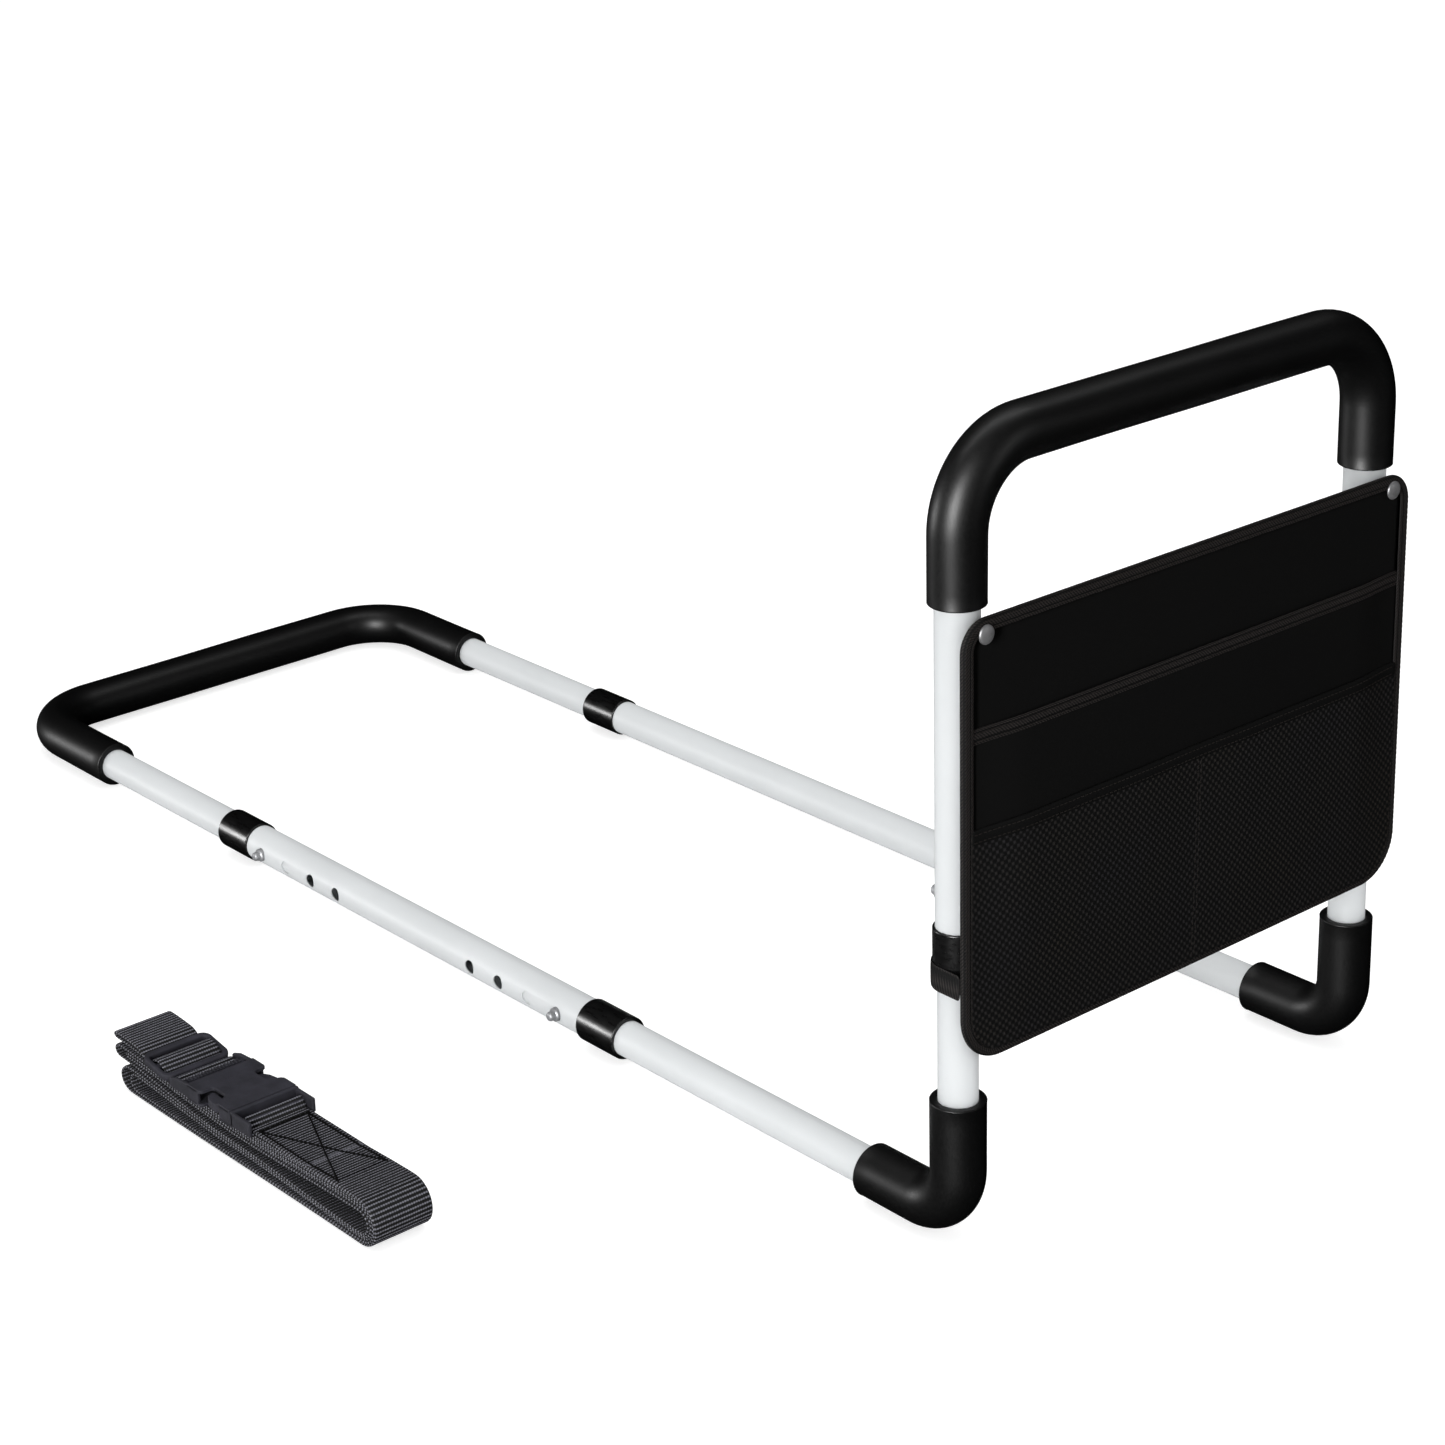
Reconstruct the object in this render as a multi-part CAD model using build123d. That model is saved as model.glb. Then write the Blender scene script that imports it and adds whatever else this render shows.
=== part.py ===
from build123d import *
import math
import os

# Bed assist rail, in millimetres. +Z is up and the floor is Z = 0.
# X = 0 is the plane of the handle, and the base runs from it towards -X, under the mattress.
# Y = 0 is midway between the two sides. Left is -Y and right is +Y, for a person facing the bed.

# Tubes: thin steel tubes that telescope, with an outer and an inner size
OUTER_RADIUS = 12.7
OUTER_BORE = 11.8
INNER_RADIUS = 11.6
INNER_BORE = 10.4
FOAM_RADIUS = 16.5
FOAM_GAP = 0.05
FOAM_EDGE = 0.9

# Frame
SIDE_Y = 170.0
RAIL_Z = FOAM_RADIUS
HANDLE_TOP_Z = RAIL_Z + 457.0
HANDLE_BEND = 48.0
LEG_BEND = 30.0
END_BEND = 50.0
END_X = -1040.0
HANDLE_GRIP_Z = RAIL_Z + 371.0
LEG_SLEEVE_Z = RAIL_Z + 75.0
LEG_SLEEVE_X = -71.0
END_GRIP_X = -915.0

# Telescoping and its snap pins
HOLE_PITCH = 31.0
HOLE_RADIUS = 4.8
BASE_HOLES = 4
HANDLE_HOLES = 3
UPRIGHT_PIN_Z = RAIL_Z + 198.0
LEG_PIN_X = -354.0
END_PIN_X = -696.0
INNER_PAST_PIN = 36.0

# Collars
COLLAR_RADIUS = 14.2
COLLAR_LENGTH = 36.0
COLLAR_LIP = 4.0
COLLAR_FIT = 0.05
COLLAR_LIP_BORE = 11.9
COLLAR_EDGE = 0.8
BASE_COLLAR_LEG_X = -296.0
BASE_COLLAR_END_X = -750.0
HANDLE_COLLAR_Z = RAIL_Z + 146.0

# Snap pins and their leaf springs
PIN_RADIUS = 4.6
PIN_TIP_RADIUS = 3.2
PIN_FOOT = 9.0
PIN_SHOULDER = OUTER_RADIUS + 2.4
PIN_TOP = OUTER_RADIUS + 6.6
PIN_SHOULDER_BEVEL = 0.9
PIN_TIP_ROUND = 2.2
SPRING_THICKNESS = 0.8
SPRING_WIDTH = 7.0
SPRING_LENGTH = 30.0
SPRING_TAIL = 5.5
SPRING_NOSE_LENGTH = 4.0
SPRING_NOSE_HALF = 3.2
SPRING_WALL_GAP = 0.6

# Storage pocket
POCKET_X = 17.0
POCKET_HALF_WIDTH = 186.5
POCKET_BOTTOM_Z = RAIL_Z + 106.0
POCKET_TOP_Z = RAIL_Z + 368.0
POCKET_TOP_CORNER = 18.0
POCKET_LOW_CORNER = 30.0
BINDING_WIDTH = 8.0
BINDING_DEPTH = 4.4
CLOTH = 1.4
POCKET_DEPTH = 5.6
POCKET_SLOPE = 16.0
SEAM_GAP = 0.1
PANEL_HALF_WIDTH = POCKET_HALF_WIDTH - BINDING_WIDTH - SEAM_GAP
PANEL_LOW_Z = POCKET_BOTTOM_Z + BINDING_WIDTH + SEAM_GAP
FRONT_X = POCKET_X + CLOTH + SEAM_GAP
MESH_X = FRONT_X + CLOTH + SEAM_GAP
FRONT_TOP_Z = RAIL_Z + 306.0
MESH_TOP_Z = RAIL_Z + 248.0
HEM_HEIGHT = 9.0
HEM_THICKNESS = 0.6

# Loops round the handle collars, and the rivets at the pocket's top corners
LOOP_HEIGHT = 16.0
LOOP_THICKNESS = 1.0
LOOP_GAP = 0.1
RIVET_Z = RAIL_Z + 359.0
RIVET_STEM_RADIUS = 2.0
RIVET_HOLE_RADIUS = 2.15
RIVET_HEAD_RADIUS = 5.6
RIVET_HEAD_HEIGHT = 2.6
RIVET_HEAD_ROUND = 2.0
RIVET_TAIL_RADIUS = 3.2
RIVET_TAIL_HEIGHT = 1.6
RIVET_TAIL_GAP = 0.5
PAD_HALF_WIDTH = 11.0
PAD_HALF_HEIGHT = 8.0

# Securing strap, folded up on the floor beside the rail
STRAP_Y = -402.0
WEB_WIDTH = 42.0
STRAP_LEFT_X = -500.0
STRAP_RIGHT_X = -215.0
STRAP_FOLD_RADIUS = 15.5
STRAP_SEAT_Z = 26.0
STRAP_RISE = 12.0
STRAP_STEP_START = 1.0
STRAP_STEP_END = 8.0
STRAP_LEFT_SLOPE = 24.0
STRAP_LEFT_LIFT = 6.0
BUCKLE_WIDTH = 48.0
BUCKLE_LEFT_X = -427.0
BUCKLE_Z = STRAP_SEAT_Z + 0.2
BUCKLE_HEIGHT = 11.0
BUCKLE_WALL = 1.8
BUCKLE_CLEARANCE = 0.4
BUCKLE_ROUND = 2.5
BUCKLE_PART_GAP = 0.2
FEMALE_LENGTH = 68.0
MALE_LENGTH = 21.0
WEB_SLOT = 6.0
WEB_SLOT_WIDTH = WEB_WIDTH + 1.0
BUCKLE_BAR = 4.5
CAVITY_START = 24.0
WINDOW_START = 34.0
WINDOW_LENGTH = 16.0
WINDOW_DEPTH = 6.5
ARM_WIDTH = 4.5
ARM_ROOT = 4.0
HOOK_REACH = 4.0
HOOK_CLEARANCE = 2.0
TONGUE_GAP = 4.0
MALE_SLOT_START = 8.0
SLIDE_MIDDLE_X = -446.0
SLIDE_LENGTH = 30.0
SLIDE_HEIGHT = 4.6
SLIDE_LIFT = 0.2
SLIDE_CORNER = 7.0
SLIDE_SLOT = 8.0

SIDES = {"left": -1, "right": 1}


def along(direction, origin):
    """A plane whose local Z points along direction, for building round parts."""
    return Plane(origin=origin, z_dir=direction)


def bent_tube(points, bend, outer, bore):
    """A round tube along straight runs joined by bends of one radius."""
    path = FilletPolyline(*points, radius=bend)
    ring = Circle(outer) - Circle(bore)
    return sweep(Plane(origin=path @ 0, z_dir=path % 0) * ring, path=path)


def rounded_ends(sleeve, at_end):
    """Softens the outer rim at each cut end of a foam sleeve. at_end picks the rims by their centres."""
    rims = [
        edge
        for edge in sleeve.edges().filter_by(GeomType.CIRCLE)
        if abs(edge.radius - FOAM_RADIUS) < 0.01 and at_end(edge.arc_center)
    ]
    return fillet(rims, FOAM_EDGE)


def cross_hole(origin, direction, radius):
    """A drill through one wall of a tube, from the tube's axis outwards."""
    drill = Cylinder(radius, 2 * OUTER_RADIUS, align=(Align.CENTER, Align.CENTER, Align.MIN))
    return along(direction, origin) * drill


def outward(side):
    """The direction in which the base pins of one side point."""
    return (0, side, 0)


def handle_points(low_z):
    """The handle's centre line, from low_z up over the top and down to low_z."""
    return [
        (0, -SIDE_Y, low_z),
        (0, -SIDE_Y, HANDLE_TOP_Z),
        (0, SIDE_Y, HANDLE_TOP_Z),
        (0, SIDE_Y, low_z),
    ]


def leg_points(side, top_z, inner_x):
    """A leg's centre line, from the upright round the bend into the base."""
    y = side * SIDE_Y
    return [(0, y, top_z), (0, y, RAIL_Z), (inner_x, y, RAIL_Z)]


def end_points(inner_x):
    """The end frame's centre line, out along the left, across, and back along the right."""
    return [
        (inner_x, -SIDE_Y, RAIL_Z),
        (END_X, -SIDE_Y, RAIL_Z),
        (END_X, SIDE_Y, RAIL_Z),
        (inner_x, SIDE_Y, RAIL_Z),
    ]


def handle_tube():
    """The inverted U that the user holds, with its height holes and its rivet holes."""
    tube = bent_tube(handle_points(HANDLE_COLLAR_Z + COLLAR_LIP), HANDLE_BEND, OUTER_RADIUS, OUTER_BORE)
    for side in SIDES.values():
        for step in range(HANDLE_HOLES):
            hole_z = UPRIGHT_PIN_Z + step * HOLE_PITCH
            tube -= cross_hole((0, side * SIDE_Y, hole_z), (-1, 0, 0), HOLE_RADIUS)
        tube -= cross_hole((0, side * SIDE_Y, RIVET_Z), (1, 0, 0), RIVET_HOLE_RADIUS)
    return tube


def handle_grip():
    """The foam sleeve over the top of the handle and both its bends."""
    sleeve = bent_tube(handle_points(HANDLE_GRIP_Z), HANDLE_BEND, FOAM_RADIUS, OUTER_RADIUS + FOAM_GAP)
    return rounded_ends(sleeve, lambda centre: abs(centre.Z - HANDLE_GRIP_Z) < 0.01)


def leg(side):
    """One L-shaped inner tube: the foot of an upright and the start of the base."""
    y = side * SIDE_Y
    top_z = UPRIGHT_PIN_Z + INNER_PAST_PIN
    tube = bent_tube(leg_points(side, top_z, LEG_PIN_X - INNER_PAST_PIN), LEG_BEND, INNER_RADIUS, INNER_BORE)
    tube -= cross_hole((0, y, UPRIGHT_PIN_Z), (-1, 0, 0), HOLE_RADIUS)
    tube -= cross_hole((LEG_PIN_X, y, RAIL_Z), outward(side), HOLE_RADIUS)
    return tube


def leg_sleeve(side):
    """The foam sleeve over one leg's bend, which the rail stands on."""
    points = leg_points(side, LEG_SLEEVE_Z, LEG_SLEEVE_X)
    sleeve = bent_tube(points, LEG_BEND, FOAM_RADIUS, INNER_RADIUS + FOAM_GAP)
    ends = (Vector(*points[0]), Vector(*points[-1]))
    return rounded_ends(sleeve, lambda centre: min((centre - end).length for end in ends) < 0.01)


def end_frame_tube():
    """The U-shaped inner tube that closes the far end of the base."""
    tube = bent_tube(end_points(END_PIN_X + INNER_PAST_PIN), END_BEND, INNER_RADIUS, INNER_BORE)
    for side in SIDES.values():
        tube -= cross_hole((END_PIN_X, side * SIDE_Y, RAIL_Z), outward(side), HOLE_RADIUS)
    return tube


def end_frame_grip():
    """The foam sleeve over the end frame, which the rail's other end stands on."""
    sleeve = bent_tube(end_points(END_GRIP_X), END_BEND, FOAM_RADIUS, INNER_RADIUS + FOAM_GAP)
    return rounded_ends(sleeve, lambda centre: abs(centre.X - END_GRIP_X) < 0.01)


def base_tube(side):
    """One straight outer tube of the base, with length holes near both ends."""
    start_x = BASE_COLLAR_END_X + COLLAR_LIP
    length = BASE_COLLAR_LEG_X - COLLAR_LIP - start_x
    y = side * SIDE_Y
    ring = extrude(Circle(OUTER_RADIUS) - Circle(OUTER_BORE), length)
    tube = along((1, 0, 0), (start_x, y, RAIL_Z)) * ring
    for step in range(BASE_HOLES):
        for hole_x in (LEG_PIN_X - step * HOLE_PITCH, END_PIN_X + step * HOLE_PITCH):
            tube -= cross_hole((hole_x, y, RAIL_Z), outward(side), HOLE_RADIUS)
    return tube


def collar(origin, direction):
    """A plastic collar on the end of an outer tube, with its lip at the origin, pointing along direction."""
    body = extrude(Circle(COLLAR_RADIUS), COLLAR_LENGTH)
    rims = body.edges().filter_by(GeomType.CIRCLE)
    body = fillet(rims, COLLAR_EDGE)
    body -= extrude(Circle(COLLAR_LIP_BORE), COLLAR_LENGTH)
    body -= Pos(0, 0, COLLAR_LIP) * extrude(Circle(OUTER_RADIUS + COLLAR_FIT), COLLAR_LENGTH)
    return along(direction, origin) * body


def snap_pin(origin, direction):
    """A stepped steel pin with a rounded tip, standing out through both tubes."""
    foot = extrude(Circle(PIN_RADIUS), PIN_SHOULDER - PIN_FOOT)
    foot = chamfer(foot.edges().group_by(Axis.Z)[-1], PIN_SHOULDER_BEVEL)
    tip = Pos(0, 0, PIN_SHOULDER - PIN_FOOT) * extrude(Circle(PIN_TIP_RADIUS), PIN_TOP - PIN_SHOULDER)
    tip = fillet(tip.edges().group_by(Axis.Z)[-1], PIN_TIP_ROUND)
    return along(direction, origin) * Pos(0, 0, PIN_FOOT) * (foot + tip)


def leaf_spring(origin, direction, lengthways):
    """A bent leaf inside an inner tube. It pushes the pin out along direction and runs along lengthways."""
    pin_side = PIN_FOOT - SPRING_THICKNESS / 2
    nose = SPRING_LENGTH
    points = [
        (-SPRING_TAIL, pin_side),
        (SPRING_TAIL, pin_side),
        (nose - SPRING_NOSE_LENGTH, SPRING_NOSE_HALF),
        (nose, 0),
        (nose - SPRING_NOSE_LENGTH, -SPRING_NOSE_HALF),
        (-SPRING_TAIL, SPRING_WALL_GAP - INNER_BORE + SPRING_THICKNESS),
    ]
    strip = offset(Polyline(*points), amount=SPRING_THICKNESS / 2, side=Side.BOTH)
    solid = extrude(make_face(strip), SPRING_WIDTH / 2, both=True)
    width_way = Vector(*lengthways).cross(Vector(*direction))
    return Plane(origin=origin, x_dir=lengthways, z_dir=width_way) * solid


def pocket_outline(inset):
    """The pocket's rounded outline, with larger corners at the bottom, in the plane of the handle."""
    half = POCKET_HALF_WIDTH - inset
    low = POCKET_BOTTOM_Z + inset
    high = POCKET_TOP_Z - inset
    sketch = Pos(0, (low + high) / 2) * Rectangle(2 * half, high - low)
    corners = sketch.vertices().sort_by(Axis.Y)
    sketch = fillet(corners[:2], POCKET_LOW_CORNER - inset)
    corners = sketch.vertices().filter_by_position(Axis.Y, high - 0.1, high + 0.1)
    return fillet(corners, POCKET_TOP_CORNER - inset)


def facing(x):
    """The plane at x that faces away from the bed, with local X along Y and local Y along Z."""
    return Plane(origin=(x, 0, 0), x_dir=(0, 1, 0), z_dir=(1, 0, 0))


def pocket_back():
    """The back panel, with a folded pad behind each top corner that takes a rivet."""
    inset = BINDING_WIDTH + SEAM_GAP
    panel = facing(POCKET_X) * extrude(pocket_outline(inset), CLOTH)
    pad_depth = POCKET_X - OUTER_RADIUS - SEAM_GAP
    for side in SIDES.values():
        pad_y = side * (SIDE_Y - 4)
        pad_x = POCKET_X - pad_depth / 2
        panel += Pos(pad_x, pad_y, RIVET_Z - 4) * Box(pad_depth, 2 * PAD_HALF_WIDTH, 2 * PAD_HALF_HEIGHT)
        stem = Cylinder(RIVET_HOLE_RADIUS, 4 * POCKET_X)
        panel -= along((1, 0, 0), (0, side * SIDE_Y, RIVET_Z)) * stem
    return panel


def pocket_binding():
    """The binding tape round the whole edge of the pocket."""
    band = pocket_outline(0) - pocket_outline(BINDING_WIDTH)
    binding = facing(POCKET_X) * extrude(band, BINDING_DEPTH)
    for side in SIDES.values():
        stem = Cylinder(RIVET_HOLE_RADIUS, 4 * POCKET_X)
        binding -= along((1, 0, 0), (0, side * SIDE_Y, RIVET_Z)) * stem
    return binding


def front_line():
    """The inner face of the plain front, seen from above: sewn at both edges, standing off between."""
    edge, face = PANEL_HALF_WIDTH, FRONT_X + POCKET_DEPTH
    return [
        (FRONT_X, -edge),
        (face, POCKET_SLOPE - edge),
        (face, edge - POCKET_SLOPE),
        (FRONT_X, edge),
    ]


def mesh_line():
    """The inner face of the mesh, seen from above: sewn at both edges and down the middle."""
    edge, seam, face = PANEL_HALF_WIDTH, MESH_X + POCKET_DEPTH, MESH_X + 2 * POCKET_DEPTH
    return [
        (MESH_X, -edge),
        (face, 2 * POCKET_SLOPE - edge),
        (face, -POCKET_SLOPE),
        (seam, 0),
        (face, POCKET_SLOPE),
        (face, edge - 2 * POCKET_SLOPE),
        (MESH_X, edge),
    ]


def moved_out(line, distance):
    """The same line, further from the handle's plane."""
    return [(x + distance, y) for x, y in line]


def cloth_wall(line, thickness, low_z, high_z):
    """A sheet of cloth that follows a line, seen from above, and stands between two heights."""
    outline = line + moved_out(line, thickness)[::-1]
    face = make_face(Polyline(*outline, close=True))
    return Pos(0, 0, low_z) * extrude(face, high_z - low_z)


def inside_binding(solid):
    """Keeps the part of a pocket front that lies within the binding and its rounded corners."""
    room = facing(0) * extrude(pocket_outline(BINDING_WIDTH + SEAM_GAP), 3 * POCKET_X)
    return solid & room


def pocket_front():
    """The plain front of the large pocket, closed at the bottom and open at the top."""
    panel = cloth_wall(front_line(), CLOTH, PANEL_LOW_Z, FRONT_TOP_Z)
    floor = make_face(Polyline(*front_line(), close=True))
    panel += Pos(0, 0, PANEL_LOW_Z) * extrude(floor, CLOTH)
    return inside_binding(panel)


def pocket_mesh():
    """The mesh front of the two small pockets, sewn to the plain front down the middle."""
    panel = cloth_wall(mesh_line(), CLOTH, PANEL_LOW_Z, MESH_TOP_Z)
    floor = make_face(Polyline(*mesh_line(), close=True))
    behind = moved_out(front_line(), CLOTH + SEAM_GAP)
    floor -= make_face(Polyline(*behind, close=True))
    panel += Pos(0, 0, PANEL_LOW_Z) * extrude(floor, CLOTH)
    return inside_binding(panel)


def hem(line, top_z):
    """The tape along the open edge of a pocket."""
    return cloth_wall(moved_out(line, CLOTH), HEM_THICKNESS, top_z - HEM_HEIGHT, top_z)


def pocket_loop(side):
    """The sewn loop that holds the pocket to the collar of one upright."""
    outer = COLLAR_RADIUS + LOOP_GAP + LOOP_THICKNESS
    reach = POCKET_X - SEAM_GAP
    band = Circle(outer) + Pos(reach / 2, 0) * Rectangle(reach, 2 * outer)
    band -= Circle(COLLAR_RADIUS + LOOP_GAP)
    return Pos(0, side * SIDE_Y, HANDLE_COLLAR_Z) * extrude(band, LOOP_HEIGHT)


def rivet(side):
    """A domed rivet through one top corner of the pocket, headed over inside the handle tube."""
    head_x = POCKET_X + BINDING_DEPTH
    tail_x = OUTER_BORE - RIVET_TAIL_GAP
    head = extrude(Circle(RIVET_HEAD_RADIUS), RIVET_HEAD_HEIGHT)
    head = fillet(head.edges().group_by(Axis.Z)[-1], RIVET_HEAD_ROUND)
    stem = extrude(Circle(RIVET_STEM_RADIUS), head_x - tail_x)
    tail = extrude(Circle(RIVET_TAIL_RADIUS), -RIVET_TAIL_HEIGHT)
    whole = Pos(0, 0, head_x) * head + Pos(0, 0, tail_x) * (stem + tail)
    return along((1, 0, 0), (0, side * SIDE_Y, RIVET_Z)) * whole


def strap_webbing():
    """The folded webbing as one closed block: flat where the buckle lies, rounded at the folds."""
    fold_x = STRAP_RIGHT_X - STRAP_FOLD_RADIUS
    fold_top = 2 * STRAP_FOLD_RADIUS
    buckle_end = BUCKLE_LEFT_X + FEMALE_LENGTH + MALE_LENGTH
    top = [
        (fold_x, fold_top),
        (buckle_end + STRAP_STEP_END, fold_top),
        (buckle_end + STRAP_STEP_START, STRAP_SEAT_Z),
        (BUCKLE_LEFT_X, STRAP_SEAT_Z),
        (STRAP_LEFT_X, STRAP_SEAT_Z + STRAP_RISE),
        (STRAP_LEFT_X, STRAP_SEAT_Z + STRAP_RISE / 2),
        (STRAP_LEFT_X + STRAP_LEFT_SLOPE / 2, STRAP_LEFT_LIFT),
        (STRAP_LEFT_X + STRAP_LEFT_SLOPE, 0),
        (fold_x, 0),
    ]
    outline = Polyline(*top)
    outline += ThreePointArc((fold_x, 0), (STRAP_RIGHT_X, STRAP_FOLD_RADIUS), (fold_x, fold_top))
    block = extrude(make_face(outline), WEB_WIDTH / 2, both=True)
    return Plane(origin=(0, STRAP_Y, 0), x_dir=(1, 0, 0), z_dir=(0, -1, 0)) * block


def buckle_box(start, length, width, height, lift=0.0):
    """A block in the buckle's place, from start past the buckle's left end, raised by lift."""
    centre = (BUCKLE_LEFT_X + start + length / 2, STRAP_Y, BUCKLE_Z + lift + height / 2)
    return Pos(*centre) * Box(length, width, height)


def both_sides(start, length, middle, width, height, lift):
    """Two equal blocks, one on each side of the buckle's middle line."""
    block = buckle_box(start, length, width, height, lift)
    return Pos(0, middle, 0) * block + Pos(0, -middle, 0) * block


def buckle_female():
    """The buckle's housing: a ladder bar for the webbing, a cavity, and a window at each side."""
    body = buckle_box(0, FEMALE_LENGTH, BUCKLE_WIDTH, BUCKLE_HEIGHT)
    body = fillet(body.edges().filter_by(Axis.X), BUCKLE_ROUND)
    for step in range(2):
        slot_start = BUCKLE_BAR + step * (WEB_SLOT + BUCKLE_BAR)
        body -= buckle_box(slot_start, WEB_SLOT, WEB_SLOT_WIDTH, BUCKLE_HEIGHT)
    cavity_height = BUCKLE_HEIGHT - 2 * BUCKLE_WALL
    cavity_width = BUCKLE_WIDTH - 2 * BUCKLE_WALL
    body -= buckle_box(CAVITY_START, FEMALE_LENGTH, cavity_width, cavity_height, BUCKLE_WALL)
    window_middle = (BUCKLE_WIDTH - WINDOW_DEPTH) / 2
    body -= both_sides(WINDOW_START, WINDOW_LENGTH, window_middle, WINDOW_DEPTH, BUCKLE_HEIGHT, 0)
    return body


def buckle_male():
    """The buckle's plug: a bar for the webbing, a middle tongue, and two springy arms with hooks."""
    start = FEMALE_LENGTH + BUCKLE_PART_GAP
    body = buckle_box(start, MALE_LENGTH - BUCKLE_PART_GAP, BUCKLE_WIDTH, BUCKLE_HEIGHT)
    body = fillet(body.edges().filter_by(Axis.X), BUCKLE_ROUND)
    body -= buckle_box(FEMALE_LENGTH + MALE_SLOT_START, WEB_SLOT, WEB_SLOT_WIDTH, BUCKLE_HEIGHT)
    lift = BUCKLE_WALL + BUCKLE_CLEARANCE
    height = BUCKLE_HEIGHT - 2 * lift
    arm_start = WINDOW_START + HOOK_CLEARANCE
    arm_length = FEMALE_LENGTH + ARM_ROOT - arm_start
    arm_middle = BUCKLE_WIDTH / 2 - BUCKLE_WALL - WINDOW_DEPTH / 2 - ARM_WIDTH / 2
    body += both_sides(arm_start, arm_length, arm_middle, ARM_WIDTH, height, lift)
    hook_width = ARM_WIDTH + HOOK_REACH
    hook_middle = arm_middle + HOOK_REACH / 2
    hook_length = WINDOW_LENGTH - 2 * HOOK_CLEARANCE
    body += both_sides(arm_start, hook_length, hook_middle, hook_width, height, lift)
    tongue_start = CAVITY_START + TONGUE_GAP
    tongue_length = FEMALE_LENGTH + ARM_ROOT - tongue_start
    body += buckle_box(tongue_start, tongue_length, 2 * ARM_WIDTH, height, lift)
    return body


def strap_slide():
    """The three-bar slide that sets the strap's length."""
    plate = RectangleRounded(SLIDE_LENGTH, BUCKLE_WIDTH, SLIDE_CORNER)
    for end in (-1, 1):
        offset_x = end * (SLIDE_SLOT / 2 + BUCKLE_BAR / 2)
        plate -= Pos(offset_x, 0) * Rectangle(SLIDE_SLOT, WEB_SLOT_WIDTH)
    solid = Pos(0, 0, SLIDE_LIFT) * extrude(plate, SLIDE_HEIGHT)
    back = BUCKLE_LEFT_X - SLIDE_MIDDLE_X
    slope = STRAP_RISE / (BUCKLE_LEFT_X - STRAP_LEFT_X)
    tilt = math.degrees(math.atan(slope))
    return Pos(SLIDE_MIDDLE_X, STRAP_Y, STRAP_SEAT_Z + back * slope) * Rot(0, tilt, 0) * solid


def left_and_right(name, make):
    """One node for each side."""
    return {f"{name}_{word}": make(side) for word, side in SIDES.items()}


def upright_pin(side):
    return snap_pin((0, side * SIDE_Y, UPRIGHT_PIN_Z), (-1, 0, 0))


def leg_pin(side):
    return snap_pin((LEG_PIN_X, side * SIDE_Y, RAIL_Z), outward(side))


def end_pin(side):
    return snap_pin((END_PIN_X, side * SIDE_Y, RAIL_Z), outward(side))


def leg_springs():
    """The four leaf springs inside the two legs."""
    springs = []
    for side in SIDES.values():
        springs.append(leaf_spring((0, side * SIDE_Y, UPRIGHT_PIN_Z), (-1, 0, 0), (0, 0, -1)))
        springs.append(leaf_spring((LEG_PIN_X, side * SIDE_Y, RAIL_Z), outward(side), (1, 0, 0)))
    return Compound(children=springs)


def end_springs():
    """The two leaf springs inside the end frame."""
    places = [(END_PIN_X, side * SIDE_Y, RAIL_Z) for side in SIDES.values()]
    springs = [leaf_spring(place, outward(side), (-1, 0, 0)) for place, side in zip(places, SIDES.values())]
    return Compound(children=springs)


def base_collar(side, x, direction):
    return collar((x, side * SIDE_Y, RAIL_Z), (direction, 0, 0))


def handle_collar(side):
    return collar((0, side * SIDE_Y, HANDLE_COLLAR_Z), (0, 0, 1))


def all_nodes():
    """Every node of the rail, by name."""
    nodes = {
        "handle_tube": handle_tube(),
        "handle_grip": handle_grip(),
        "end_frame_tube": end_frame_tube(),
        "end_frame_grip": end_frame_grip(),
        "leg_springs": leg_springs(),
        "end_springs": end_springs(),
        "pocket_back": pocket_back(),
        "pocket_front": pocket_front(),
        "pocket_mesh": pocket_mesh(),
        "pocket_binding": pocket_binding(),
        "pocket_front_hem": hem(front_line(), FRONT_TOP_Z),
        "pocket_mesh_hem": hem(mesh_line(), MESH_TOP_Z),
        "pocket_rivets": Compound(children=[rivet(side) for side in SIDES.values()]),
        "strap_webbing": strap_webbing(),
        "strap_slide": strap_slide(),
        "buckle_female": buckle_female(),
        "buckle_male": buckle_male(),
    }
    nodes |= left_and_right("leg", leg)
    nodes |= left_and_right("leg_sleeve", leg_sleeve)
    nodes |= left_and_right("base_tube", base_tube)
    nodes |= left_and_right("base_collar_leg", lambda side: base_collar(side, BASE_COLLAR_LEG_X, -1))
    nodes |= left_and_right("base_collar_end", lambda side: base_collar(side, BASE_COLLAR_END_X, 1))
    nodes |= left_and_right("handle_collar", handle_collar)
    nodes |= left_and_right("upright_pin", upright_pin)
    nodes |= left_and_right("leg_pin", leg_pin)
    nodes |= left_and_right("end_pin", end_pin)
    nodes |= left_and_right("pocket_loop", pocket_loop)
    return nodes


os.makedirs("parts", exist_ok=True)
for name, shape in all_nodes().items():
    export_step(shape, f"parts/{name}.step")
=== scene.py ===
import math
import random

import bmesh
import bpy
import numpy as np
from mathutils import Matrix, Vector


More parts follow.
